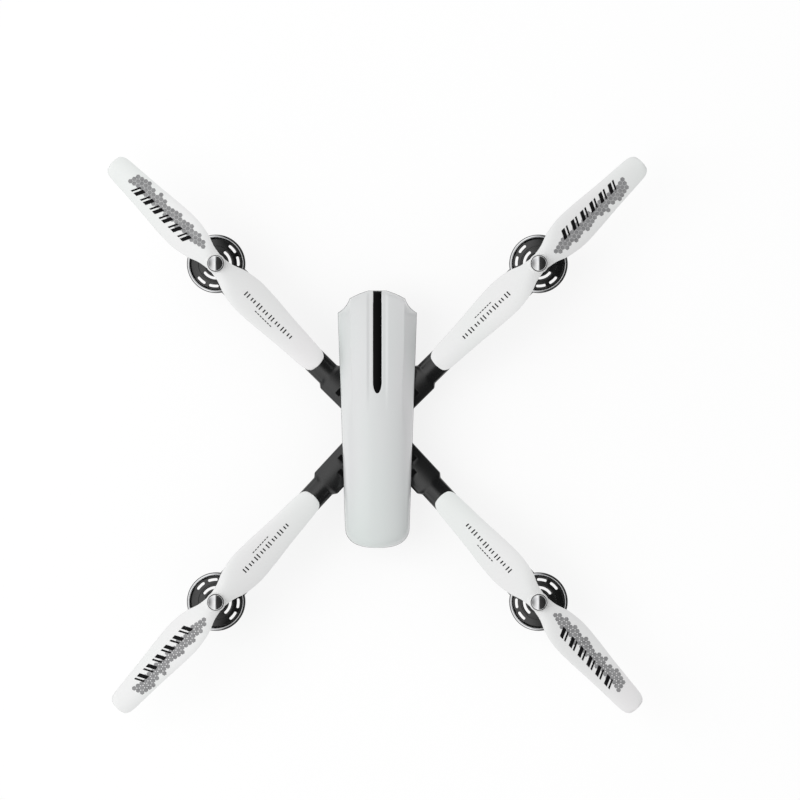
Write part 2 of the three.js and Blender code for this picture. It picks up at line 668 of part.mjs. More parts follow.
function propPieces(corner, spin) {
  const one = blade(spin);
  const hub = turned([
    [0, PROP.hubBottom], [PROP.hubR - 0.7, PROP.hubBottom], [PROP.hubR, PROP.hubBottom + 0.8],
    [PROP.hubR, PROP.hubTop - 0.5], [PROP.hubR - 0.5, PROP.hubTop], [0, PROP.hubTop],
  ], 20);
  const body = cut(
    join(one, one.rotate([0, 0, 180]), hub),
    post(0, 0, PROP.hubBottom - 1, PROP.hubTop + 3, MOTOR.shaft + GAP, MOTOR.shaft + GAP, 12),
  );
  const base = PROP.hubTop + GAP;
  const dome = [
    [0, base], [CAP.r, base], [CAP.r, base + CAP.seat], [CAP.domeR, base + CAP.seat],
    [CAP.domeR, base + CAP.wall],
  ];
  const rise = CAP.top - CAP.wall;
  for (let i = 3; i >= 0; i--) dome.push([(CAP.domeR * i) / 4, base + CAP.top - rise * (i / 4) ** 2]);
  const shaft = post(0, 0, MOTOR.top - 2.4, PROP.hubTop, MOTOR.shaft, MOTOR.shaft, 12);
  return [
    piece(`propeller_${corner}`, body, WHITE),
    piece(`prop_cap_${corner}`, turned(dome, 20), CHROME),
    piece(`motor_shaft_${corner}`, shaft, STEEL),
  ];
}

// ---- The whole drone ----------------------------------------------------------------------------

const drone = new THREE.Group();
const lower = lowerHullPieces();
drone.add(...hullPieces(), ...lower.root, ...electronicsPieces(), ...lower.battery, ...lower.latch);
drone.add(powerButtonPiece(), piece('camera_yoke', cameraYoke(), BLACK), ...cameraPieces());

for (const [end, pivot] of [['front', FRONT_PIVOT], ['rear', REAR_PIVOT]]) {
  for (const [hand, side] of [['left', -1], ['right', 1]]) {
    const corner = `${end}_${hand}`;
    const isFront = end === 'front';
    const motorY = isFront ? MOTOR_Y : -MOTOR_Y;
    const inward = new THREE.Vector2(side * (pivot.x - MOTOR_X), pivot.y - motorY);
    const spin = isFront === (hand === 'left') ? -1 : 1;
    const pod = new THREE.Group();
    pod.position.set(side * MOTOR_X, motorY, 0);
    pod.rotation.z = inward.angle();
    pod.add(...armPieces(corner, inward.length(), spin, isFront), ...propPieces(corner, spin));
    drone.add(pod);
  }
}

export default drone;
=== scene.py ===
import json
import math

import bmesh
import bpy
from mathutils import Matrix, Vector


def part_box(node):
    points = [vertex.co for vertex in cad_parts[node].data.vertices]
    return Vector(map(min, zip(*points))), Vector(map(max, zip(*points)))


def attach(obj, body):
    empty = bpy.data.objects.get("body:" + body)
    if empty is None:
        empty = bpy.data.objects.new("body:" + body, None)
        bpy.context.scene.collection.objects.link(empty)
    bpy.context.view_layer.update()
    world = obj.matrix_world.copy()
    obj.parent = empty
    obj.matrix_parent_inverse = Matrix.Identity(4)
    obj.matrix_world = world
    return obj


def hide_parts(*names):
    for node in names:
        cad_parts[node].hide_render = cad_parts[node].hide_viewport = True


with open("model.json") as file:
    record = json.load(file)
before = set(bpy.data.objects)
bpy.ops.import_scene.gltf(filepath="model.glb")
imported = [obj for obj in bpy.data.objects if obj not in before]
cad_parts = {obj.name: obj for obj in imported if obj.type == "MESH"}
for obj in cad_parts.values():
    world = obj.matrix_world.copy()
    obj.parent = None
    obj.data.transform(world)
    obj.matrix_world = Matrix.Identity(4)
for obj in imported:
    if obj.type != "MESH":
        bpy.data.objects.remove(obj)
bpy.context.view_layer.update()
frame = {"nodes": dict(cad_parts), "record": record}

# ---- Driving dimensions, in millimetres unless they come from the frame ----

MM = 0.001
CORNERS = ("front_left", "front_right", "rear_left", "rear_right")

NOSE_Y = 84.6
TAIL_Y = -68.5
NOSE_HALF = 5.0
SHOULDER_Y = 71.3
SHOULDER_HALF = 23.4
TAIL_ROUND_Y = -55.0
TAIL_HALF = 19.1
CREASE_X = 16.2  # crease between the crowned top and the side facets
TROUGH_HALF = 5.8  # shallow trough that holds the black strip
SHELL_BOTTOM = 33.1
PARTING_Z = 35.0  # groove round the hull with a dark seal in it
SHOULDER_Z = 37.0  # height of the hull's widest line
SHELL_T = 1.6
PIN_HOLE_R = 2.9
BELLY_SCREWS = [f"belly_screw_{i}" for i in range(1, 5)]
STRIPE_HALF = 2.53
STRIPE_END = 23.5
STRIPE_TAPER = 6.9

ARM_BOTTOM = 24.5
ARM_TOP = 32.5
ARM_HALF = 7.45
ARM_ROOT_HALF = 9.3
ARM_FLARE = 9.9
ARM_STEP = 95.4  # from the motor axis to the wide shoulder block
POD_R = 17.4
POD_WALL_R = 15.5
POD_BOTTOM = 33.0
POD_TOP = 41.0
SLEEVE_R = 7.3
BORE_R = 6.3

BLADE_R = 86.0
BLADE_Z = 53.4
HUB_R = 5.7
HUB_BOTTOM = 50.4
HUB_TOP = 56.0
CAP_R = 4.9
DOME_R = 4.45


# ---- Small mesh tools ----


def smoothstep(value, low, high):
    t = min(1.0, max(0.0, (value - low) / (high - low)))
    return t * t * (3 - 2 * t)


def lerp(a, b, t):
    return a + (b - a) * t


def centre_of(node):
    low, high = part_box(node)
    return (low + high) / 2


def axis_of(node):
    """The place at height 0 under a CAD node's centre, in metres."""
    centre = centre_of(node)
    return (centre.x, centre.y, 0)


def levels_of(node):
    """The lowest and the highest level of a CAD node, in millimetres."""
    low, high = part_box(node)
    return low.z / MM, high.z / MM


def handedness(corner):
    """-1 at the front left and rear right, 1 at the other two, which mirror them."""
    return -1 if corner.startswith("front") == corner.endswith("left") else 1


def through(points, count):
    """count points on a smooth curve through the given ones."""
    ends = [Vector(points[0]) * 2 - Vector(points[1]), Vector(points[-1]) * 2 - Vector(points[-2])]
    p = [ends[0], *map(Vector, points), ends[1]]
    made = []
    for i in range(count):
        at = (len(points) - 1) * i / (count - 1)
        k = min(int(at), len(points) - 2)
        t = at - k
        a, b, c, d = p[k], p[k + 1], p[k + 2], p[k + 3]
        made.append(
            0.5 * (2 * b + (c - a) * t + (2 * a - 5 * b + 4 * c - d) * t**2 + (3 * b - a - 3 * c + d) * t**3)
        )
    return made


def bezier(a, b, c, count):
    """count points on the curve from a to c that leans towards b."""
    steps = [i / (count - 1) for i in range(count)]
    return [Vector(a) * (1 - t) ** 2 + Vector(b) * 2 * t * (1 - t) + Vector(c) * t**2 for t in steps]


def soften(points, radius, steps=4, closed=False):
    """The same polyline with each corner rounded."""
    count = len(points)
    made = []
    for i, point in enumerate(points):
        here = Vector(point)
        if not closed and i in (0, count - 1):
            made.append(tuple(here))
            continue
        back = Vector(points[i - 1]) - here
        ahead = Vector(points[(i + 1) % count]) - here
        reach = min(radius, back.length * 0.48, ahead.length * 0.48)
        start = here + back.normalized() * reach
        end = here + ahead.normalized() * reach
        made += [tuple(p) for p in bezier(start, here, end, steps)]
    return made


def face_out(mesh):
    work = bmesh.new()
    work.from_mesh(mesh)
    bmesh.ops.remove_doubles(work, verts=work.verts, dist=1e-7)
    bmesh.ops.recalc_face_normals(work, faces=work.faces)
    if work.calc_volume(signed=True) < 0:
        bmesh.ops.reverse_faces(work, faces=work.faces)
    work.to_mesh(mesh)
    work.free()


def new_piece(name, verts, faces, at=(0, 0, 0)):
    """A mesh object from points in millimetres about its own origin, which is at a place in metres."""
    mesh = bpy.data.meshes.new(name)
    mesh.from_pydata([Vector(v) * MM for v in verts], [], faces)
    face_out(mesh)
    made = bpy.data.objects.new(name, mesh)
    bpy.context.collection.objects.link(made)
    made.location = at
    return made


def lathe(name, profile, at=(0, 0, 0), segments=96, axis="z"):
    """A profile of (radius, height) turned about Z, or about X or Y."""
    closed = tuple(profile[0]) == tuple(profile[-1])
    verts = []
    rows = []
    for r, z in profile[:-1] if closed else profile:
        count = 1 if r < 1e-6 else segments
        rows.append([len(verts) + i for i in range(count)])
        for i in range(count):
            turn = 2 * math.pi * i / segments
            point = (r * math.cos(turn), r * math.sin(turn), z)
            verts.append({"z": point, "x": (z, point[0], point[1]), "y": (point[1], z, point[0])}[axis])
    faces = []
    pairs = list(zip(rows, rows[1:]))
    if closed:
        pairs.append((rows[-1], rows[0]))
    for low, high in pairs:
        for i in range(segments):
            j = (i + 1) % segments
            ring = [low[i % len(low)], low[j % len(low)], high[j % len(high)], high[i % len(high)]]
            face = list(dict.fromkeys(ring))
            if len(face) > 2:
                faces.append(face)
    return new_piece(name, verts, faces, at)


def rod(name, radius, low, high, at=(0, 0, 0), segments=48, axis="z"):
    """A plain cylinder between two levels."""
    return lathe(name, [(0, low), (radius, low), (radius, high), (0, high)], at, segments, axis)


def loft(name, rings, at=(0, 0, 0)):
    """A closed skin over rings that all have the same number of points."""
    n = len(rings[0])
    verts = [p for ring in rings for p in ring]
    faces = []
    for i in range(len(rings) - 1):
        for j in range(n):
            a = i * n + j
            b = i * n + (j + 1) % n
            faces.append((a, b, b + n, a + n))
    faces.append(tuple(range(n - 1, -1, -1)))
    faces.append(tuple(range((len(rings) - 1) * n, len(rings) * n)))
    return new_piece(name, verts, faces, at)


def prism(name, outline, z0, z1, at=(0, 0, 0)):
    rings = [[(x, y, z) for x, y in outline] for z in (z0, z1)]
    return loft(name, rings, at)


def block(name, low, high, radius=0.0, at=(0, 0, 0)):
    """An upright block between two corners, with rounded upright edges."""
    outline = [(low[0], low[1]), (high[0], low[1]), (high[0], high[1]), (low[0], high[1])]
    if radius:
        outline = soften(outline, radius, 6, closed=True)
    return prism(name, outline, low[2], high[2], at)


def bake(piece):
    """Applies the modifiers to the mesh."""
    bpy.context.view_layer.update()
    graph = bpy.context.evaluated_depsgraph_get()
    mesh = bpy.data.meshes.new_from_object(piece.evaluated_get(graph), depsgraph=graph)
    mesh.name = piece.name
    piece.modifiers.clear()
    piece.data = mesh
    return piece


def join(pieces):
    """One object from several, with the first one's name and origin."""
    first = pieces[0]
    work = bmesh.new()
    for piece in pieces:
        part = piece.data.copy()
        part.transform(first.matrix_basis.inverted() @ piece.matrix_basis)
        work.from_mesh(part)
        bpy.data.meshes.remove(part)
    work.to_mesh(first.data)
    work.free()
    for piece in pieces[1:]:
        bpy.data.objects.remove(piece)
    return first


def combine(piece, tools, operation="DIFFERENCE"):
    """Cuts the tools out of a piece, or unites them with it. The tools don't touch each other."""
    tool = join(tools)
    modifier = piece.modifiers.new("combine", "BOOLEAN")
    modifier.operation = operation
    modifier.solver = "EXACT"
    modifier.object = tool
    bake(piece)
    bpy.data.objects.remove(tool)
    return piece


def bevel(piece, width, segments=2, angle=35):
    modifier = piece.modifiers.new("bevel", "BEVEL")
    modifier.width = width * MM
    modifier.segments = segments
    modifier.limit_method = "ANGLE"
    modifier.angle_limit = math.radians(angle)
    return bake(piece)


def settle(piece, body, look, slot, *nodes, sharp=34):
    """Gives a piece its look and smooth shading, ties it to its body, and hides the CAD nodes it stands for.
    """
    piece.data.materials.clear()
    piece.data.materials.append(LOOKS[look])
    for polygon in piece.data.polygons:
        polygon.use_smooth = True
        polygon.material_index = 0
    piece.data.set_sharp_from_angle(angle=math.radians(sharp))
    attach(piece, body)
    if nodes:
        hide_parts(*nodes)
    return piece


def arc_slot(radius, width, start, end, steps=14):
    """The outline of a slot along an arc, with round ends. Angles in degrees."""
    start, end = sorted((start, end))
    outline = []
    for side, a, b in ((1, start, end), (-1, end, start)):
        for i in range(steps):
            turn = math.radians(lerp(a, b, i / (steps - 1)))
            r = radius + side * width / 2
            outline.append((r * math.cos(turn), r * math.sin(turn)))
        middle = math.radians(b)
        for i in range(1, 6):
            tip = middle + math.pi * i / 6 + (0 if side > 0 else math.pi)
            x = radius * math.cos(middle) + width / 2 * math.cos(tip)
            y = radius * math.sin(middle) + width / 2 * math.sin(tip)
            outline.append((x, y))
    return outline


# ---- Materials ----


class Look:
    """A node material around one Principled shader, with its detail in object coordinates."""

    def __init__(self, name, colour, roughness, metallic=0.0, **sockets):
        self.material = bpy.data.materials.new(name)
        self.material.use_nodes = True
        self.nodes = self.material.node_tree.nodes
        self.links = self.material.node_tree.links
        self.shader = self.nodes["Principled BSDF"]
        self.shader.inputs["Base Color"].default_value = (*colour, 1)
        self.shader.inputs["Roughness"].default_value = roughness
        self.shader.inputs["Metallic"].default_value = metallic
        for socket, value in sockets.items():
            self.shader.inputs[socket.replace("_", " ")].default_value = value
        self.place = self.nodes.new("ShaderNodeTexCoord").outputs["Object"]
        self.normal = None

    def stretched(self, scale):
        mapping = self.nodes.new("ShaderNodeMapping")
        mapping.inputs["Scale"].default_value = scale
        self.links.new(self.place, mapping.inputs["Vector"])
        return mapping.outputs["Vector"]

    def noise(self, scale, detail=3.0, stretch=(1, 1, 1)):
        node = self.nodes.new("ShaderNodeTexNoise")
        node.inputs["Scale"].default_value = scale
        node.inputs["Detail"].default_value = detail
        self.links.new(self.stretched(stretch), node.inputs["Vector"])
        return node.outputs["Fac"]

    def rings(self, spacing_mm, axis="Z"):
        node = self.nodes.new("ShaderNodeTexWave")
        node.wave_type = "RINGS"
        node.rings_direction = axis
        node.inputs["Scale"].default_value = math.pi / (10 * spacing_mm * MM)
        node.inputs["Distortion"].default_value = 0.6
        node.inputs["Detail"].default_value = 2.0
        self.links.new(self.place, node.inputs["Vector"])
        return node.outputs["Fac"]

    def bands(self, spacing_mm):
        node = self.nodes.new("ShaderNodeTexWave")
        node.bands_direction = "X"
        node.inputs["Scale"].default_value = math.pi / (10 * spacing_mm * MM)
        self.links.new(self.place, node.inputs["Vector"])
        return node.outputs["Fac"]

    def cells(self, scale):
        node = self.nodes.new("ShaderNodeTexVoronoi")
        node.inputs["Scale"].default_value = scale
        self.links.new(self.place, node.inputs["Vector"])
        return node.outputs["Distance"]

    def tint(self, source, low, high, start=0.3, end=0.7):
        node = self.nodes.new("ShaderNodeValToRGB")
        for step, place, colour in zip(node.color_ramp.elements, (start, end), (low, high)):
            step.position = place
            step.color = (*colour, 1)
        self.links.new(source, node.inputs["Fac"])
        self.links.new(node.outputs["Color"], self.shader.inputs["Base Color"])

    def polish(self, source, low, high):
        node = self.nodes.new("ShaderNodeMapRange")
        node.inputs["To Min"].default_value = low
        node.inputs["To Max"].default_value = high
        self.links.new(source, node.inputs["Value"])
        self.links.new(node.outputs["Result"], self.shader.inputs["Roughness"])

    def bump(self, source, depth_mm, strength=1.0):
        node = self.nodes.new("ShaderNodeBump")
        node.inputs["Strength"].default_value = strength
        node.inputs["Distance"].default_value = depth_mm * MM
        self.links.new(source, node.inputs["Height"])
        if self.normal is not None:
            self.links.new(self.normal, node.inputs["Normal"])
        self.normal = node.outputs["Normal"]
        self.links.new(self.normal, self.shader.inputs["Normal"])


def white_plastic(name, cool, warm, roughness):
    look = Look(name, cool, roughness, Coat_Weight=0.35, Coat_Roughness=0.12, Specular_IOR_Level=0.45)
    # The noise between the two whites, greenish and lilac, is painted reflection laid into the base colour
    # over the plastic's own white.
    look.tint(look.noise(16, 2, (1, 0.35, 1)), cool, warm, 0.35, 0.65)
    look.polish(look.noise(420, 4), roughness - 0.05, roughness + 0.07)
    look.bump(look.noise(900, 3), 0.02, 0.25)
    look.bump(look.noise(60, 1), 0.05, 0.2)
    return look.material


def satin_black(name, shade, roughness, gloss):
    low = (shade * 0.8, shade * 0.84, shade * 0.88)
    high = (shade * 1.35, shade * 1.4, shade * 1.42)
    look = Look(name, low, roughness, Specular_IOR_Level=gloss)
    look.tint(look.noise(75, 4), low, high)
    look.polish(look.noise(260, 5), roughness - 0.04, roughness + 0.04)
    look.bump(look.cells(2600), 0.012, 0.2)
    look.bump(look.noise(1500, 4), 0.01, 0.15)
    return look.material


def make_looks():
    looks = {}
    looks["shell"] = white_plastic("shell_white", (0.665, 0.710, 0.695), (0.715, 0.700, 0.715), 0.3)
    looks["blade"] = white_plastic("blade_white", (0.795, 0.818, 0.806), (0.822, 0.812, 0.818), 0.34)
    looks["satin"] = satin_black("arm_satin_black", 0.008, 0.25, 0.8)
    looks["plate"] = satin_black("pod_black", 0.004, 0.22, 0.95)
    looks["belly"] = satin_black("belly_black", 0.015, 0.5, 0.35)

    piano = Look("strip_gloss_black", (0.001, 0.001, 0.0012), 0.12, Specular_IOR_Level=0.1)
    piano.polish(piano.noise(500, 4), 0.09, 0.17)
    piano.bump(piano.noise(180, 2), 0.01, 0.15)
    looks["piano"] = piano.material

    chrome = Look("bright_chrome", (0.82, 0.83, 0.84), 0.1, 1.0)
    chrome.tint(chrome.noise(300, 3), (0.76, 0.77, 0.79), (0.88, 0.88, 0.88))
    chrome.polish(chrome.noise(900, 5), 0.05, 0.15)
    chrome.bump(chrome.rings(0.16), 0.004, 0.25)
    looks["chrome"] = chrome.material

    steel = Look("turned_steel", (0.42, 0.43, 0.44), 0.3, 1.0)
    steel.tint(steel.noise(250, 4), (0.36, 0.37, 0.38), (0.52, 0.52, 0.53))
    steel.polish(steel.noise(1400, 4, (1, 1, 6)), 0.2, 0.38)
    steel.bump(steel.rings(0.22), 0.01, 0.5)
    looks["steel"] = steel.material

    rubber = Look("foot_rubber", (0.012, 0.012, 0.012), 0.8)
    rubber.tint(rubber.noise(300, 5), (0.008, 0.008, 0.008), (0.03, 0.03, 0.029))
    rubber.bump(rubber.noise(2200, 5), 0.05, 0.8)
    looks["rubber"] = rubber.material

    ink = Look("ink_black", (0.003, 0.003, 0.0035), 0.6, Specular_IOR_Level=0.15)
    ink.tint(ink.noise(900, 4), (0.002, 0.002, 0.0025), (0.007, 0.007, 0.0075))
    ink.bump(ink.noise(2600, 3), 0.01, 0.4)
    looks["ink"] = ink.material

    grey = Look("ink_grey", (0.3, 0.3, 0.3), 0.5)
    grey.tint(grey.noise(420, 3), (0.2, 0.2, 0.205), (0.31, 0.31, 0.315))
    grey.bump(grey.noise(2600, 3), 0.01, 0.4)
    looks["ink_grey"] = grey.material

    glass = Look("coated_glass", (0.012, 0.016, 0.03), 0.03, Coat_Weight=1.0, Coat_Roughness=0.02)
    glass.tint(glass.rings(2.2, "Y"), (0.006, 0.008, 0.02), (0.03, 0.018, 0.06), 0.2, 0.9)
    glass.polish(glass.noise(700, 3), 0.02, 0.06)
    looks["glass"] = glass.material

    for name, low, high in (("red", (0.35, 0.01, 0.008), (0.75, 0.05, 0.03)),
                            ("green", (0.01, 0.22, 0.04), (0.06, 0.65, 0.16))):
        lamp = Look(f"lamp_{name}", high, 0.22, Coat_Weight=0.6, Coat_Roughness=0.08)
        lamp.tint(lamp.bands(0.9), low, high, 0.1, 0.9)
        lamp.bump(lamp.bands(0.9), 0.12, 0.7)
        looks[f"lamp_{name}"] = lamp.material

    board = Look("board_lacquer", (0.01, 0.10, 0.035), 0.35, Coat_Weight=0.5, Coat_Roughness=0.15)
    board.tint(board.cells(420), (0.02, 0.17, 0.06), (0.006, 0.07, 0.025), 0.1, 0.5)
    board.bump(board.cells(420), 0.05, 0.5)
    looks["board"] = board.material

    ceramic = Look("antenna_ceramic", (0.55, 0.45, 0.28), 0.6)
    ceramic.tint(ceramic.noise(500, 5), (0.46, 0.37, 0.22), (0.64, 0.52, 0.34))
    ceramic.bump(ceramic.noise(1400, 5), 0.03, 0.6)
    looks["ceramic"] = ceramic.material

    film = Look("cell_film", (0.03, 0.05, 0.12), 0.3, Coat_Weight=0.4, Coat_Roughness=0.2)
    film.tint(film.noise(45, 4, (1, 0.3, 1)), (0.02, 0.035, 0.09), (0.05, 0.075, 0.17))
    film.bump(film.noise(90, 3, (1, 4, 1)), 0.2, 0.4)
    looks["film"] = film.material
    return looks


LOOKS = make_looks()


# ---- Hull ----


def hull_outline():
    """[(y, half width)] from the nose to the tail: blunt nose, scooped shoulders, taper, round tail."""
    nose = bezier((NOSE_Y, NOSE_HALF), (NOSE_Y - 1.7, 11), (79.8, CREASE_X + 0.2), 14)
    scoop = bezier((79.8, CREASE_X + 0.2), (74.2, 18.2), (SHOULDER_Y, SHOULDER_HALF), 14)
    outline = [tuple(p) for p in nose + scoop[1:]]
    count = 42
    for i in range(1, count + 1):
        y = lerp(SHOULDER_Y, TAIL_ROUND_Y, i / count)
        outline.append((y, lerp(SHOULDER_HALF, TAIL_HALF, i / count)))
    depth = TAIL_ROUND_Y - TAIL_Y
    for i in range(1, 19):
        t = math.sin(math.pi / 2 * i / 18.4)
        outline.append((TAIL_ROUND_Y - depth * t, TAIL_HALF * (1 - t**2.5) ** 0.4))
    return outline


OUTLINE = hull_outline()
CROWN_LINE = [(86, 42.6), (72, 46.2), (45, 49), (8, 50), (-30, 49.6), (-54, 47.8), (-66, 45), (-70, 43)]
CROWN = through(CROWN_LINE, 240)


def crown_at(y):
    for (y0, z0), (y1, z1) in zip(CROWN, CROWN[1:]):
        if y1 <= y <= y0:
            return lerp(z0, z1, (y0 - y) / (y0 - y1))
    return CROWN[0][1] if y > CROWN[0][0] else CROWN[-1][1]


def crease_at(y, half):
    return min(CREASE_X - 1.4 * smoothstep(y, 75, 10), half * 0.96)


def front_edge(x):
    """How far forward the nose reaches at a distance x from the centre line."""
    x = abs(x)
    if x <= NOSE_HALF:
        return NOSE_Y
    for (y0, h0), (y1, h1) in zip(OUTLINE, OUTLINE[1:]):
        if h0 <= x <= h1:
            return lerp(y0, y1, (x - h0) / (h1 - h0))
    return SHOULDER_Y


def top_height(x, y, half, drop):
    """Creased facets near the nose that soften to a round section, filleted at the nose and tail."""
    shoulder = SHOULDER_Z - drop * 0.4
    crown = crown_at(y) - drop
    crease = crease_at(y, half)
    away = abs(x)
    crease_z = crown - 0.22 * (crown - shoulder)
    rounded = shoulder + (crown - shoulder) * max(0.0, 1 - (away / half) ** 2.6) ** 0.5
    if away > crease:
        facet = lerp(crease_z, shoulder, (away - crease) / (half - crease))
    else:
        facet = crown - (crown - crease_z) * (away / crease) ** 2
    height = lerp(rounded, facet, smoothstep(y, -5, 45))
    height -= 0.45 * smoothstep(y, 5, 40) * smoothstep(TROUGH_HALF - away, -0.5, 0.9)
    nose_fillet = min(1.0, max(0.0, (front_edge(x) - y) / 3.2))
    tail_fillet = min(1.0, max(0.0, (y - TAIL_Y) / 5.0))
    fall = (1 - (1 - nose_fillet) ** 2.4) ** 0.5 * (1 - (1 - tail_fillet) ** 2.2) ** 0.5
    return shoulder + (height - shoulder) * lerp(0.58, 1.0, fall)


def hull_section(y, full_half, inset, bottom):
    half = max(full_half - inset, 0.5)
    crease = crease_at(y, half)
    step = min(0.45, (half - crease) / 2)
    squeeze = min(1.0, half / 12)
    across = [x * squeeze for x in (0, 0.9, 1.8, 3.7, 4.6, 5.2, 5.8, 6.4, 7.2)]
    across += [lerp(across[-1], crease - step, i / 7) for i in range(1, 8)]
    across += [crease, crease + step]
    rest = half - across[-1]
    across += [across[-1] + rest * math.sin(math.pi / 2 * i / 10) for i in range(1, 11)]
    right = [(x, y, top_height(x, y, half, inset)) for x in across]
    foot = half - min(1.3, half * 0.12)
    edge_z = right[-1][2]
    for t in (0.25, 0.5, 0.75, 0.93, 1.0):
        right.append((lerp(half, foot, t**2), y, lerp(edge_z, bottom, t)))
    left = [(-x, py, z) for x, py, z in reversed(right[1:])]
    return left + right


def hull_solid(name, inset, bottom):
    rings = []
    for y, half in OUTLINE:
        if TAIL_Y + inset < y < NOSE_Y - inset * 0.5 or inset == 0:
            rings.append(hull_section(y, half, inset, bottom))
    return loft(name, rings)


def stripe_outline(grow, front):
    half = STRIPE_HALF + grow
    outline = [(half, front)]
    for i in range(25):
        turn = math.pi * i / 24
        y = STRIPE_END + STRIPE_TAPER - (STRIPE_TAPER + grow) * math.sin(turn)
        outline.append((half * math.cos(turn), y))
    outline.append((-half, front))
    return outline


def hull_path(grow):
    """The hull's outline seen from above, as a closed path pushed outwards by a distance."""
    right = [(half + grow, y + grow * math.copysign(1, y)) for y, half in OUTLINE]
    return right + [(-x, y) for x, y in reversed(right)]


def hull_band(name, inner, outer, low, high):
    """A thin ring round the hull between two offsets of its outline and two heights."""
    corners = ((outer, low), (outer, high), (inner, high), (inner, low))
    rings = [[(x, y, level) for x, y in hull_path(grow)] for grow, level in corners]
    n = len(rings[0])
    faces = []
    for i in range(4):
        for j in range(n):
            k = (j + 1) % n
            a, b = i * n, ((i + 1) % 4) * n
            faces.append((a + j, a + k, b + k, b + j))
    return new_piece(name, [p for ring in rings for p in ring], faces)


def pin_holes(low, high):
    """Cutters for the four fold pins between two levels."""
    places = [axis_of(f"arm_pin_{corner}") for corner in CORNERS]
    return [rod("pin_hole", PIN_HOLE_R, low, high, place) for place in places]


def make_hull():
    shell = hull_solid("hull_shell", 0, SHELL_BOTTOM)
    combine(shell, [hull_solid("room", SHELL_T, SHELL_BOTTOM - 3)])
    combine(shell, [prism("channel", stripe_outline(0.08, NOSE_Y + 2), 38.9, 60)])
    combine(shell, [hull_band("parting", -0.6, 2.0, PARTING_Z, PARTING_Z + 0.35)])
    button = centre_of("power_button")
    button_low, button_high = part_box("power_button")
    button_r = (button_high.z - button_low.z) / 2 / MM
    combine(shell, [rod("hole", button_r + 0.4, -4, 6, button, 96, "y")])
    bevel(shell, 0.15, 2, 40)
    settle(shell, "hull", "shell", "white_plastic", "top_shell")

    seal = hull_band("hull_seal", -0.9, 0.15, PARTING_Z + 0.03, PARTING_Z + 0.32)
    settle(seal, "hull", "rubber", "rubber")

    strip = hull_solid("hull_strip", 0.18, SHELL_BOTTOM)
    combine(strip, [prism("keep", stripe_outline(0, NOSE_Y - 0.15), 39.4, 60)], "INTERSECT")
    settle(strip, "hull", "piano", "gloss_black", "top_stripe")

    deck_outline = [(h - 2.6, y) for y, h in OUTLINE if -64 < y < 78]
    deck_outline += [(-x, y) for x, y in reversed(deck_outline)]
    deck = prism("hull_deck", deck_outline, SHELL_BOTTOM + 0.2, 34.9)
    combine(deck, pin_holes(30, 38))
    bevel(deck, 0.3, 2)
    settle(deck, "hull", "belly", "black_plastic", "upper_deck")

    half = (button_high.y - button_low.y) / 2 / MM
    dished = [(0, 0.35 - half), (button_r - 0.9, -half), (button_r - 0.3, -half), (button_r, 0.4 - half),
              (button_r, half), (0, half)]
    key = lathe("power_key", soften(dished, 0.3), button, axis="y")
    settle(key, "power_key", "piano", "gloss_black", "power_button")


make_hull()


# ---- Lower hull, spine, battery ----

BELLY = [(0, 50), (9, 50), (14.5, 46), (19.6, 26), (20, 5), (19.2, -25), (17.5, -52), (13, -60.5), (0, -63)]
BELLY_Z = 8.0
BELLY_TOP = 24.0
BAY_HALF = 14.9
BAY_FLOOR = 9.4
BAY_TOP = 21.0
BATTERY_BACK = -53.0


def belly_section(z, scale, draw_in):
    ends = [(x * scale, y - draw_in if y > 40 else y + draw_in if y < -50 else y) for x, y in BELLY]
    right = [(max(0.0, p[0]), p[1], z) for p in through(ends, 61)[1:-1]]
    left = [(-x, y, level) for x, y, level in reversed(right)]
    return right + left


def belly_solid(name):
    rings = []
    for i in range(9):
        turn = math.pi / 2 * i / 8
        t = math.sin(turn)
        z = BELLY_Z + 6 * (1 - math.cos(turn))
        rings.append(belly_section(z, lerp(0.70, 0.94, t), lerp(6, 0.6, t)))
    rings.append(belly_section(19, 0.975, 0.2))
    rings.append(belly_section(BELLY_TOP, 1, 0))
    return loft(name, rings)


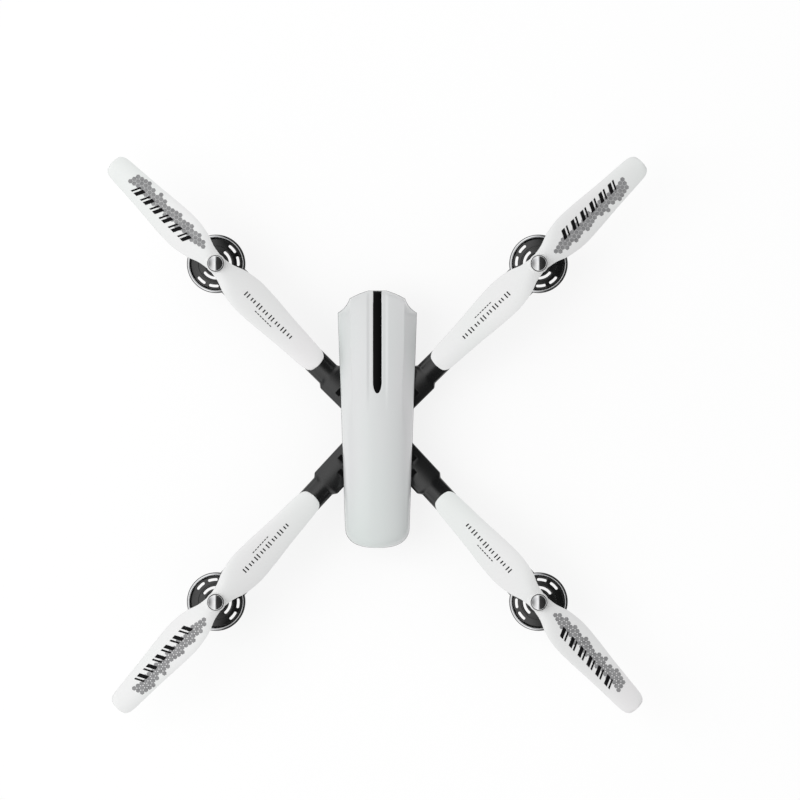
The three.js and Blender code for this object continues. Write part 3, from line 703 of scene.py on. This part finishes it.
def make_belly():
    belly = belly_solid("belly_shell")
    combine(belly, [block("bay", (-BAY_HALF, -80, BAY_FLOOR), (BAY_HALF, 19, BAY_TOP))])
    combine(belly, [block("tail", (-30, -80, 0), (30, BATTERY_BACK - 0.3, BAY_TOP))])
    tools = pin_holes(21.8, 26)
    tools += [rod("screw_hole", 2.1, 6, 10.2, axis_of(node)) for node in BELLY_SCREWS]
    tools.append(rod("window", 4.1, 6, 11.4, axis_of("flow_sensor"), 64))
    tools.append(block("camera_room", (-9, 24, 11.6), (9, 44, 21.6), 2))
    combine(belly, tools)
    combine(belly, [block("mouth", (-4, 43, 14), (4, 56, 17), 1)])
    vents = []
    for side in (-1, 1):
        for i in range(6):
            y = 20 - 7.0 * i
            x0 = side * 17.2
            x1 = x0 + side * 6
            outline = soften([(x0, y), (x1, y + 1.5), (x1, y + 3.7), (x0, y + 2.2)], 0.4, 3, True)
            vents.append(prism("vent", outline, 16.0, 20.2))
    combine(belly, vents)
    bevel(belly, 0.3, 2, 40)
    settle(belly, "hull", "belly", "black_plastic", "lower_hull")

    cap = belly_solid("battery_end_cap")
    combine(cap, [block("keep", (-30, -80, 0), (30, BATTERY_BACK - 0.6, BAY_TOP - 0.3))], "INTERSECT")
    grips = []
    for side in (-1, 1):
        for i in range(4):
            x = side * (7.5 + 1.9 * i)
            grips.append(block("grip", (x - 0.45, -70, 11), (x + 0.45, -60.9 + 0.55 * i, 19.5), 0.3))
    combine(cap, grips)
    combine(cap, [block("pocket", (-5.4, -70, 13), (5.4, -55.2, 17.4))])
    bevel(cap, 0.3, 2, 40)
    settle(cap, "battery", "belly", "black_plastic", "battery_cap")

    low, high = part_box("battery_latch")
    latch = block("latch_key", low / MM, high / MM, 0.8)
    ribs = [block("rib", (-3.4, -63, z), (3.4, -61.75, z + 0.5), 0.2) for z in (14.2, 15.0, 15.8)]
    combine(latch, ribs)
    bevel(latch, 0.25, 2, 40)
    settle(latch, "latch", "piano", "gloss_black", "battery_latch")

    low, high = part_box("battery_pack")
    low, high = low / MM, high / MM
    insets = [(1.2, low.y), (0.35, low.y + 0.4), (0, low.y + 1.2),
              (0, high.y - 1.2), (0.35, high.y - 0.4), (1.2, high.y)]
    rings = []
    for inset, y in insets:
        corners = [(low.x + inset, low.z + inset), (high.x - inset, low.z + inset),
                   (high.x - inset, high.z - inset), (low.x + inset, high.z - inset)]
        rings.append([(x, y, z) for x, z in soften(corners, 1.8, 6, closed=True)])
    pack = loft("battery_cells", rings)
    settle(pack, "battery", "film", "cell_wrap", "battery_pack")


def make_spine():
    z0, z1 = BELLY_TOP + 0.3, SHELL_BOTTOM - 0.1
    half = [(-61, 3.4), (-56, 5), (-45, 5), (-40, 3.4), (44, 3.4), (50, 6.4), (58, 6.2), (62, 3.4)]
    outline = [(h, y) for y, h in half] + [(-h, y) for y, h in reversed(half)]
    spine = prism("spine_web", soften(outline, 1.2, 5, closed=True), z0, z1)
    windows = []
    for i in range(6):
        y = -34 + 13.0 * i
        windows.append(block("window", (-10, y, 26.3), (10, y + 8.5, 31.0), 1.2))
    combine(spine, windows)
    bevel(spine, 0.3, 2, 40)
    settle(spine, "hull", "belly", "black_plastic", "hull_spine")


def make_fasteners():
    for corner in CORNERS:
        node = f"arm_pin_{corner}"
        low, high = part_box(node)
        z0, z1 = levels_of(node)
        r = (high.x - low.x) / 2 / MM
        edge = [(0, z0), (r - 0.3, z0), (r, z0 + 0.3), (r, z1 - 0.3), (r - 0.3, z1), (0, z1)]
        profile = soften(edge, 0.1, 2)
        pin = lathe(f"fold_pin_{corner}", profile, axis_of(node), 64)
        combine(pin, [block("slot", (-1.6, -0.4, z1 - 0.8), (1.6, 0.4, z1 + 1), 0, pin.location)])
        settle(pin, "hull", "steel", "steel", node)
    for i, node in enumerate(BELLY_SCREWS, 1):
        z0, z1 = levels_of(node)
        profile = soften([(0, z0), (1.3, z0), (1.8, z0 + 0.4), (1.8, z1), (0, z1)], 0.25, 3)
        head = lathe(f"screw_{i}", profile, axis_of(node), 48)
        combine(head, [block("cross", (-1.2, -0.25, z0 - 1), (1.2, 0.25, z0 + 0.8), 0, head.location)])
        combine(head, [block("cross", (-0.25, -1.2, z0 - 1), (0.25, 1.2, z0 + 0.8), 0, head.location)])
        settle(head, "hull", "steel", "steel", node)
    z0, z1 = levels_of("flow_sensor")
    profile = soften([(0, z0 + 0.5), (2.2, z0 + 0.3), (3.0, z0), (3.8, z0), (3.8, z1), (0, z1)], 0.25, 4)
    window = lathe("belly_window", profile, axis_of("flow_sensor"), 64)
    settle(window, "hull", "glass", "lens_glass", "flow_sensor")


make_belly()
make_spine()
make_fasteners()


# ---- Camera ----


def frame_joint(name):
    """The place of a joint, in metres."""
    for joint in frame["record"]["behaviour"]["joints"]:
        if joint["name"] == name:
            return Vector(joint["pos_m"])
    raise ValueError(name)


def make_camera():
    axle = frame_joint("camera_tilt")
    x_half = 10.4
    r = 8.2
    drum = soften([(0, -x_half), (r - 0.9, -x_half), (r, -x_half + 0.9), (r, x_half - 0.9), (r - 0.9, x_half),
                   (0, x_half)], 0.4, 4)
    body = lathe("camera_drum", drum, axle, 128, "x")
    trunnion = rod("trunnion", 2, -x_half - 2, x_half + 2, axle, 48, "x")
    face = lathe("face", soften([(0, 0), (6.8, 0), (6.8, 7.0), (6.2, 7.6), (0, 7.6)], 0.3, 4), axle, 96, "y")
    combine(body, [trunnion], "UNION")
    combine(body, [face], "UNION")
    combine(body, [rod("socket", 5.5, 3, 14, axle, 96, "y")])
    bevel(body, 0.2, 2, 40)
    settle(body, "camera", "satin", "black_plastic", "camera_body")

    steps = [(0, 3.3), (5.2, 3.3), (5.2, 9.6), (4.9, 10.0), (4.3, 10.0), (4.2, 8.2), (0, 8.2)]
    barrel = lathe("camera_barrel", soften(steps, 0.12, 3), axle, 96, "y")
    settle(barrel, "camera", "piano", "gloss_black", "lens_barrel")

    low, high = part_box("lens_glass")
    depth = (high.y - low.y) / MM
    back = low.y / MM - axle[1] / MM
    profile = [(0, back)]
    for i in range(13):
        turn = math.pi / 2 * i / 12
        profile.append((3.9 * math.cos(turn) if i < 12 else 0, back + 0.6 + (depth - 0.6) * math.sin(turn)))
    profile.insert(1, (3.9, back))
    glass = lathe("camera_glass", profile, axle, 96, "y")
    settle(glass, "camera", "glass", "lens_glass", "lens_glass")

    inner = x_half + 0.4
    outer = inner + 2.2
    z = axle[2] / MM
    y = axle[1] / MM
    side = [(50.4, z - 5.5), (y, z - 5.5)]
    for i in range(1, 24):
        turn = math.pi * (i / 24 - 0.5)
        side.append((y + 5.5 * math.cos(turn), z + 5.5 * math.sin(turn)))
    side += [(y, z + 5.5), (50.4, z + 7)]
    cheeks = []
    for x0 in (inner, -outer):
        rings = [[(x, py, pz) for py, pz in side] for x in (x0, x0 + outer - inner)]
        cheeks.append(loft("cheek", rings))
    bridge = block("camera_bracket", (-outer, 50.4, z - 5.5), (outer, 54, z + 7))
    combine(bridge, [cheeks[0]], "UNION")
    combine(bridge, [cheeks[1]], "UNION")
    combine(bridge, [rod("hole", 2.4, -20, 20, axle, 48, "x")])
    bevel(bridge, 0.45, 3, 40)
    settle(bridge, "hull", "belly", "black_plastic", "camera_yoke")


make_camera()


# ---- Arms and pods ----


def arm_half(t, reach):
    """Half the arm's width at a distance t from the motor axis."""
    flare = lerp(ARM_FLARE, ARM_HALF, smoothstep(t, 21, 50))
    wide = lerp(flare, ARM_ROOT_HALF, smoothstep(t, ARM_STEP - 2.2, ARM_STEP + 1.2))
    if t > reach:
        return (max(0.0, ARM_ROOT_HALF**2 - (t - reach) ** 2)) ** 0.5
    return wide


def arm_levels(t):
    """Underside and top of the arm: level between the decks, rising to the pod."""
    rise = 1 - smoothstep(t, 17, 44)
    return lerp(ARM_BOTTOM, POD_BOTTOM + 0.3, rise), lerp(ARM_TOP, POD_TOP - 0.2, rise)


def arm_section(t, reach):
    half = max(arm_half(t, reach), 0.4)
    low, high = arm_levels(t)
    block_part = smoothstep(t, ARM_STEP - 2.2, ARM_STEP + 1.2)
    round_top = min(lerp(2.4, 1.5, block_part), half * 0.9)
    round_low = min(lerp(2.0, 1.1, block_part), half * 0.9)
    crown = lerp(1.6, 1.3, block_part) * min(1.0, half / 6)
    points = []
    for i in range(9):
        turn = math.pi / 2 * i / 8
        points.append((half - round_low * (1 - math.sin(turn)), low + round_low * (1 - math.cos(turn))))
    for i in range(9):
        turn = math.pi / 2 * i / 8
        v = half - round_top * (1 - math.cos(turn))
        points.append((v, high - crown - round_top * (1 - math.sin(turn))))
    edge = points[-1][0]
    for i in range(1, 9):
        v = edge * (1 - i / 8)
        points.append((v, high - crown * (v / edge) ** 2))
    mirrored = [(-v, z) for v, z in reversed(points[:-1])]
    return points + mirrored


def arm_beam(name, reach, at):
    stations = [12 + 2.0 * i for i in range(41)]
    stations += [ARM_STEP - 2.4 + 0.4 * i for i in range(12)]
    stations += [lerp(ARM_STEP + 3, reach, i / 8) for i in range(9)]
    stations += [reach + ARM_ROOT_HALF * math.sin(math.pi / 2 * i / 12) for i in range(1, 12)]
    rings = [[(t, v, z) for v, z in arm_section(t, reach)] for t in sorted(set(stations))]
    return loft(name, rings, at)


def settle_turned(piece, turn, body, look, slot, *nodes, sharp=34):
    """As settle, for a piece built along X from the motor axis: its mesh is turned to the arm's direction."""
    piece.data.transform(Matrix.Rotation(turn, 4, "Z"))
    return settle(piece, body, look, slot, *nodes, sharp=sharp)


def make_arm(corner, axis, turn, reach):
    """The arm's beam, with its pin hole and pockets, and near-black fills in the pockets as painted shade."""
    body = f"arm_{corner}"
    hand = handedness(corner)
    beam = arm_beam(f"arm_beam_{corner}", reach, axis)
    combine(beam, [rod("well", POD_WALL_R + 0.5, 20, 50, axis, 96)])
    combine(beam, [rod("pin_hole", PIN_HOLE_R, 20, 40, (axis[0] + reach * MM, axis[1], 0), 64)])
    places = [(-7.3, 2.9 * hand)]
    if corner.startswith("rear"):
        places.append((-13.5, -2.9 * hand))
    pockets = []
    for u, v in places:
        low = (reach + u - 1.6, v - 2.2, ARM_TOP - 3.6)
        high = (reach + u + 1.6, v + 2.2, ARM_TOP + 2)
        pockets.append(block("pocket", low, high, 0.3, axis))
    combine(beam, pockets)
    bevel(beam, 0.2, 2, 42)
    settle_turned(beam, turn, body, "satin", "black_plastic", f"arm_{corner}")
    # Near-black fills sunk in the pockets are painted shade: they stand in for the shade inside the recesses.
    for i, (u, v) in enumerate(places):
        low = (reach + u - 1.55, v - 2.15, ARM_TOP - 3.5)
        high = (reach + u + 1.55, v + 2.15, ARM_TOP - 0.9)
        shade_fill = block(f"painted_pocket_shade_{corner}_{i + 1}", low, high, 0.4, axis)
        settle_turned(shade_fill, turn, body, "piano", "rubber")


def make_pod(corner, axis, turn):
    """The motor pod's wall, its slotted plate and the bright ring on it."""
    body = f"arm_{corner}"
    wall = [(POD_WALL_R, POD_BOTTOM), (POD_R, POD_BOTTOM), (POD_R, POD_TOP), (POD_WALL_R, POD_TOP)]
    rounded = soften(wall, 0.45, 4, closed=True)
    rim = lathe(f"pod_wall_{corner}", rounded + rounded[:1], axis, 160)
    settle_turned(rim, turn, body, "satin", "black_plastic")

    z = POD_TOP
    steps = [(BORE_R, z - 2.4), (POD_WALL_R + 0.2, z - 2.4), (POD_WALL_R + 0.2, z - 1.25), (10.8, z - 0.65),
             (10.4, z - 0.3), (BORE_R + 1.2, z - 0.05), (BORE_R + 0.9, z), (BORE_R, z)]
    plate = lathe(f"pod_plate_{corner}", steps + steps[:1], axis, 160)
    slots = []
    for side in (-1, 1):
        slots.append(arc_slot(8.5, 1.55, 42.7 * side, 96.3 * side))
        for middle in (51.5, 87):
            slots.append(arc_slot(13.2, 1.55, (middle - 9.3) * side, (middle + 9.3) * side))
    combine(plate, [prism("slot", outline, z - 6, z + 4, axis) for outline in slots])
    bevel(plate, 0.1, 2, 40)
    settle_turned(plate, turn, body, "plate", "black_plastic")

    z = POD_TOP + 0.3
    ring = [(15.75, z), (15.75, z + 0.4), (15.95, z + 0.52), (16.1, z + 0.58)]
    for i in range(13):
        ring.append((lerp(16.2, 16.95, i / 12), z + 0.6 - 0.2 * (i / 12) ** 1.3))
    ring += [(16.95, z), (15.75, z)]
    bright = lathe(f"pod_bright_ring_{corner}", ring, axis, 192)
    settle_turned(bright, turn, body, "chrome", "chrome", f"pod_ring_{corner}", sharp=25)


def make_motor(corner, axis, turn):
    """The motor can, the sleeve round it and the rib that ties the sleeve to the pod's wall."""
    body = f"arm_{corner}"
    z0, z1 = levels_of(f"motor_{corner}")
    r = BORE_R - 0.3
    can = [(0, z0), (r, z0), (r, z1 - 5.6), (r - 0.35, z1 - 5.4), (r - 0.35, z1 - 5.0), (r, z1 - 4.8),
           (r, z1 - 1.8), (r - 1, z1 - 0.8), (2.6, z1 - 0.8), (2.6, z1), (1.4, z1), (1.4, z1 - 3.8),
           (0, z1 - 3.8)]
    motor_can = lathe(f"motor_can_{corner}", soften(can, 0.2, 3), axis, 96)
    vents = []
    for i in range(8):
        spot = math.pi / 4 * i
        outline = [(3.3 * math.cos(spot + s) if k else 4.7 * math.cos(spot + s),
                    3.3 * math.sin(spot + s) if k else 4.7 * math.sin(spot + s))
                   for k, s in ((0, -0.2), (0, 0.2), (1, 0.2), (1, -0.2))]
        vents.append(prism("vent", soften(outline, 0.2, 3, True), z1 - 1.8, z1 + 1, axis))
    combine(motor_can, vents)
    bevel(motor_can, 0.1, 2, 40)
    settle_turned(motor_can, turn, body, "steel", "steel", f"motor_{corner}")

    sleeve = [(BORE_R, 28), (BORE_R, POD_TOP - 0.3), (SLEEVE_R, POD_TOP - 0.6), (SLEEVE_R, 27),
              (SLEEVE_R - 1, 26), (0, 26), (0, 28)]
    barrel = lathe(f"pod_sleeve_{corner}", soften(sleeve, 0.3, 3), axis, 96)
    settle_turned(barrel, turn, body, "satin", "black_plastic")
    low = (SLEEVE_R - 0.6, -3.4, POD_BOTTOM)
    high = (POD_WALL_R + 1, 3.4, POD_TOP - 1.8)
    rib = block(f"pod_rib_{corner}", low, high, at=axis)
    bevel(rib, 0.5, 3)
    settle_turned(rib, turn, body, "satin", "black_plastic")


def make_leg(corner, axis, turn):
    """The lamp under the pod, the leg and its rubber pad."""
    body = f"arm_{corner}"
    outline = arc_slot(12, 6.4, 122, 238, 40)
    lamp_box = prism(f"lamp_box_{corner}", outline, POD_BOTTOM + 2.4, POD_TOP - 1.8, axis)
    bevel(lamp_box, 0.3, 2, 40)
    settle_turned(lamp_box, turn, body, "plate", "black_plastic")
    outline = arc_slot(12, 5.6, 124, 236, 40)
    lamp = prism(f"lamp_lens_{corner}", outline, POD_BOTTOM - 0.4, POD_BOTTOM + 2.1, axis)
    bevel(lamp, 0.7, 4, 40)
    tone = "red" if corner.startswith("front") else "green"
    settle_turned(lamp, turn, body, f"lamp_{tone}", f"lamp_{tone}", f"led_lens_{corner}")

    leg = [(0, 3.4), (3, 3.4), (2.85, 8), (3.5, 15), (5.2, 21.5), (6.5, 24.8), (6.6, 25.7), (0, 25.7)]
    smooth = [(0, 3.4)] + [tuple(p) for p in through(leg[1:-1], 28)] + [(0, 25.7)]
    post = lathe(f"leg_post_{corner}", smooth, axis, 72)
    settle_turned(post, turn, body, "satin", "black_plastic", f"leg_{corner}")
    tread = [(0, 0), (3.6, 0), (4.2, 0.8), (4.2, 1.3), (3.8, 1.5), (4.15, 1.75), (4.1, 2.3), (3.4, 3.1),
             (0, 3.1)]
    foot = lathe(f"foot_{corner}", soften(tread, 0.35, 3), axis, 72)
    settle_turned(foot, turn, body, "rubber", "rubber", f"foot_pad_{corner}")


for corner in CORNERS:
    pin = centre_of(f"arm_pin_{corner}")
    motor = centre_of(f"motor_{corner}")
    axis = (motor.x, motor.y, 0)
    inward = Vector((pin.x - motor.x, pin.y - motor.y)) / MM
    turn = math.atan2(inward.y, inward.x)
    make_arm(corner, axis, turn, inward.length)
    make_pod(corner, axis, turn)
    make_motor(corner, axis, turn)
    make_leg(corner, axis, turn)


# ---- Propellers ----

PLANFORM = [(0, 5.3), (8, 6.6), (16, 9.5), (27, 11.1), (40, 10.6), (56, 9.2), (71, 8.2), (78.6, 7.7),
            (82.7, 6.9), (85.2, 4.8), (BLADE_R, 1.2)]
PLAN_POINTS = through(PLANFORM, 300)
UPPER_BULGE = 0.62  # shares of the blade's thickness above and below its middle surface
LOWER_BULGE = -0.36


def blade_half(r):
    for (r0, h0), (r1, h1) in zip(PLAN_POINTS, PLAN_POINTS[1:]):
        if r0 <= r <= r1:
            return lerp(h0, h1, (r - r0) / max(1e-6, r1 - r0))
    return PLAN_POINTS[-1][1]


def blade_pitch(r, spin):
    return spin * math.radians(lerp(13, 6, smoothstep(r, 20, BLADE_R)) * smoothstep(r, -6, 20))


def blade_height(r, u, spin, bulge):
    """Level of a face of the blade at a distance r from the hub, u from -1 to 1 across."""
    tilt = u * blade_half(r) * math.tan(blade_pitch(r, spin))
    swell = bulge * max(0.0, 1 - abs(u) ** 2.2) ** 0.8
    return BLADE_Z + tilt + swell * lerp(1.9, 0.9, r / BLADE_R) + 0.5 * (1 - u * u)


def blade_ring(r, spin):
    """A section of the blade: along its upper face, then back along its lower face."""
    half = blade_half(r)
    across = [math.sin(math.pi / 2 * (i / 12 - 1)) for i in range(25)]
    ring = []
    for row, bulge, edge in ((across, UPPER_BULGE, 0.12), (across[::-1], LOWER_BULGE, -0.12)):
        for u in row:
            lift = edge if abs(u) > 0.999 else 0.0
            ring.append((r, u * half, blade_height(r, u, spin, bulge) + lift))
    return ring


def blade_point(r, v, spin, lift):
    """A point above the blade's upper face, or below it where the lift is negative."""
    u = max(-1.0, min(1.0, v / blade_half(abs(r))))
    return (r, v, blade_height(r, u, spin, UPPER_BULGE) + lift)


def on_blade(outline, spin, lift):
    """A thin closed patch with a convex outline (r, v) on a blade: (points, faces)."""
    n = len(outline)
    middle = (sum(p[0] for p in outline) / n, sum(p[1] for p in outline) / n)
    verts = [blade_point(*p, spin, level) for level in (lift, -0.12) for p in outline]
    verts += [blade_point(*middle, spin, level) for level in (lift, -0.12)]
    faces = []
    for i in range(n):
        j = (i + 1) % n
        faces += [(i, j, 2 * n), (j + n, i + n, 2 * n + 1), (i, i + n, j + n, j)]
    return verts, faces


def hex_patch(centre, size, spin, lean):
    """One printed hexagonal cell that lies on a blade."""
    rim = []
    for k in range(6):
        angle = math.pi / 3 * (k + 0.5) - lean
        rim.append((centre[0] + size * math.cos(angle), centre[1] + size * math.sin(angle)))
    return on_blade(rim, spin, 0.07)


def patches(name, shapes, at):
    verts = []
    faces = []
    for points, rings in shapes:
        start = len(verts)
        verts += points
        faces += [tuple(start + k for k in face) for face in rings]
    return new_piece(name, verts, faces, at)


def cell_marks(spin, side):
    """A ragged band of hexagonal cells along one side of the outer blade, in rows that cross it aslant."""
    pitch = 2.65
    lean = math.radians(46) * side
    shapes = []
    for row in range(-24, 25):
        for column in range(-4, 34):
            across = (column + 0.5 * (row % 2)) * pitch
            along = row * pitch * math.sqrt(3) / 2
            r = across * math.cos(lean) + along * math.sin(lean) * side + 20
            v = -across * math.sin(lean) * side + along * math.cos(lean)
            ragged = (row * 5 + column * 3) % 7 / 7
            if 12 + 4 * ragged < r < 74 - 5 * ragged and -6.4 + 1.4 * ragged < v < 1.2:
                shapes.append(hex_patch((r, v * side), pitch * 0.545, spin, lean * side))
    return shapes


def bar_marks(spin, side):
    """Pairs of slanted bars, a wide one and a narrow one, beside the cells."""
    shapes = []
    strips = 6
    for i in range(6):
        for start, width in ((0, 2.5), (3.6, 1.2)):
            r0 = 20.5 + 7.7 * i + start
            for k in range(strips):
                quad = []
                for t, shift in ((k, 0), (k, width), (k + 1, width), (k + 1, 0)):
                    rise = t / strips
                    quad.append((r0 + shift + 2.6 * rise, (5.4 * rise - 0.9) * side))
                shapes.append(on_blade(quad, spin, 0.11))
    return shapes


def tick_marks(spin, side):
    """A plain row of paired ticks with a fine broken line beside it, laid out on the outer blade."""
    shapes = []
    for i in range(16):
        r = 25.0 + 5.0 * (i // 2) + 2.1 * (i % 2)
        tall = 3.0 if i % 4 < 2 else 2.2
        tick = [(r, -tall / 2), (r + 0.75, -tall / 2), (r + 0.75, tall / 2), (r, tall / 2)]
        shapes.append(on_blade(tick, spin, 0.07))
    for i in range(7):
        r = 36.5 + 2.0 * i
        line = [(r, -3.95), (r + 1.3, -3.95), (r + 1.3, -3.4), (r, -3.4)]
        shapes.append(on_blade([(a, b * side) for a, b in line], spin, 0.07))
    return shapes


def make_propeller(corner):
    axis_node = centre_of(f"motor_shaft_{corner}")
    pin = centre_of(f"arm_pin_{corner}")
    axis = (axis_node.x, axis_node.y, 0)
    turn = math.atan2(axis_node.y - pin.y, axis_node.x - pin.x)
    spin = handedness(corner)
    body = f"prop_{corner}"

    stations = [0, 2, 4] + [6 + 2.5 * i for i in range(30)] + [80.4, 82, 83.4, 84.5, 85.2, 85.7, BLADE_R]
    blades = []
    for side in (1, -1):
        rings = [[(side * x, side * y, z) for x, y, z in blade_ring(r, spin)] for r in stations]
        blades.append(loft("blade", rings, axis))
    hub = [(0, HUB_BOTTOM), (HUB_R - 0.7, HUB_BOTTOM), (HUB_R, HUB_BOTTOM + 0.8), (HUB_R, HUB_TOP - 0.4),
           (HUB_R - 0.5, HUB_TOP), (0, HUB_TOP)]
    whole = lathe(f"blades_{corner}", soften(hub, 0.25, 3), axis, 128)
    combine(whole, [blades[0]], "UNION")
    combine(whole, [blades[1]], "UNION")
    combine(whole, [rod("bore", 1.3, 40, 60, axis)])
    settle_turned(whole, turn, body, "blade", "white_plastic", f"propeller_{corner}", sharp=50)

    side = 1 if corner.startswith("front") else -1
    for name, shapes, look in (("cell_marks", cell_marks(spin, side), "ink_grey"),
                               ("bar_marks", bar_marks(spin, side), "ink")):
        settle_turned(patches(f"{name}_{corner}", shapes, axis), turn, body, look, "white_plastic", sharp=60)
    ticks = patches(f"tick_marks_{corner}", tick_marks(spin, side), axis)
    ticks.data.transform(Matrix.Rotation(math.pi, 4, "Z"))
    settle_turned(ticks, turn, body, "ink", "white_plastic", sharp=60)

    base = HUB_TOP + 0.3
    seat = [(DOME_R - 1, base), (CAP_R, base), (CAP_R, base + 1), (DOME_R - 1, base + 1)]
    washer = lathe(f"nut_seat_{corner}", soften(seat, 0.25, 3, closed=True), axis, 96)
    settle_turned(washer, turn, body, "rubber", "rubber", f"prop_cap_{corner}")
    dome = [(0, base), (DOME_R, base), (DOME_R, base + 2.7), (DOME_R - 0.12, base + 2.88)]
    for i in range(15, -1, -1):
        r = (DOME_R - 0.12) * i / 16
        dome.append((r, base + 4.7 - 1.82 * (i / 16) ** 2))
    cap = lathe(f"dome_nut_{corner}", dome, axis, 128)
    settle_turned(cap, turn, body, "chrome", "chrome", f"prop_cap_{corner}", sharp=30)

    z0, z1 = levels_of(f"motor_shaft_{corner}")
    shaft = lathe(f"shaft_{corner}", soften([(0, z0), (1, z0), (1, z1), (0, z1)], 0.15, 3), axis, 48)
    settle_turned(shaft, turn, body, "steel", "steel", f"motor_shaft_{corner}")


for corner in CORNERS:
    make_propeller(corner)


# ---- Carried-over CAD nodes ----

for node, look in (("main_board", "board"), ("gps_module", "ceramic")):
    kept = frame["nodes"][node]
    kept.data.materials.clear()
    kept.data.materials.append(LOOKS[look])
    edge = kept.modifiers.new("edge", "BEVEL")
    edge.width = 0.15 * MM
    edge.segments = 2


# ---- Floor, light and camera ----

WORLD_LEFT = 0.72
WORLD_RIGHT = 0.60
MIRRORED = [(0.0, 0.2), (0.2, 0.8), (0.43, 1.1), (0.57, 0.05), (1.0, 0.02)]  # across, from left to right


def make_world():
    """An even studio surround. Glossy surfaces see it lit on the left and black on the right."""
    world = bpy.data.worlds.new("studio")
    bpy.context.scene.world = world
    world.use_nodes = True
    nodes = world.node_tree.nodes
    links = world.node_tree.links
    axes = nodes.new("ShaderNodeSeparateXYZ")
    links.new(nodes.new("ShaderNodeTexCoord").outputs["Generated"], axes.inputs[0])
    across = nodes.new("ShaderNodeMapRange")
    across.inputs["From Min"].default_value = -1
    links.new(axes.outputs["X"], across.inputs["Value"])
    mirrored = nodes.new("ShaderNodeValToRGB")
    steps = mirrored.color_ramp.elements
    while len(steps) < len(MIRRORED):
        steps.new(0.5)
    for step, (place, level) in zip(steps, MIRRORED):
        step.position = place
        step.color = (level, level, level, 1)
    links.new(across.outputs["Result"], mirrored.inputs["Fac"])
    even = nodes.new("ShaderNodeMapRange")
    even.inputs["From Min"].default_value = -1
    even.inputs["To Min"].default_value = WORLD_LEFT
    even.inputs["To Max"].default_value = WORLD_RIGHT
    links.new(axes.outputs["X"], even.inputs["Value"])
    choice = nodes.new("ShaderNodeMix")
    links.new(nodes.new("ShaderNodeLightPath").outputs["Is Glossy Ray"], choice.inputs["Factor"])
    links.new(even.outputs["Result"], choice.inputs[2])
    links.new(mirrored.outputs["Color"], choice.inputs[3])
    links.new(choice.outputs[0], nodes["Background"].inputs["Strength"])
    nodes["Background"].inputs["Color"].default_value = (1, 1, 1, 1)


def make_light():
    """One broad light above the left side, which glossy surfaces don't mirror."""
    place = Vector((-1.0, 0.1, 1.7))
    target = Vector((0, 0, 0.04))
    lamp = bpy.data.lights.new("key_left", "AREA")
    lamp.shape = "RECTANGLE"
    lamp.size = 1.2
    lamp.size_y = 1.6
    lamp.energy = 17
    made = bpy.data.objects.new("key_left", lamp)
    bpy.context.collection.objects.link(made)
    made.location = place
    made.visible_glossy = False
    made.rotation_mode = "QUATERNION"
    made.rotation_quaternion = (target - place).to_track_quat("-Z", "Y")


def make_stage():
    bpy.ops.mesh.primitive_circle_add(vertices=96, radius=40, fill_type="NGON", location=(0, 0, 0))
    floor = bpy.context.object
    floor.name = "floor"
    pale = Look("pale_floor", (0.18, 0.18, 0.18), 0.8, Emission_Color=(1, 1, 1, 1), Emission_Strength=0.82,
                Specular_IOR_Level=0.1)
    pale.tint(pale.noise(3, 2), (0.176, 0.176, 0.176), (0.184, 0.184, 0.184))
    floor.data.materials.append(pale.material)

    make_world()
    make_light()

    camera = bpy.data.cameras.new("camera")
    seen = bpy.data.objects.new("camera", camera)
    bpy.context.collection.objects.link(seen)
    height = 5.0
    frame_width = 0.476
    subject_z = 0.045
    camera.sensor_width = 36
    camera.lens = 36 * (height - subject_z) / frame_width
    camera.clip_end = 50
    seen.location = (0.0135, 0.0195, height)
    bpy.context.scene.camera = seen
    bpy.context.scene.view_settings.view_transform = "Standard"


make_stage()
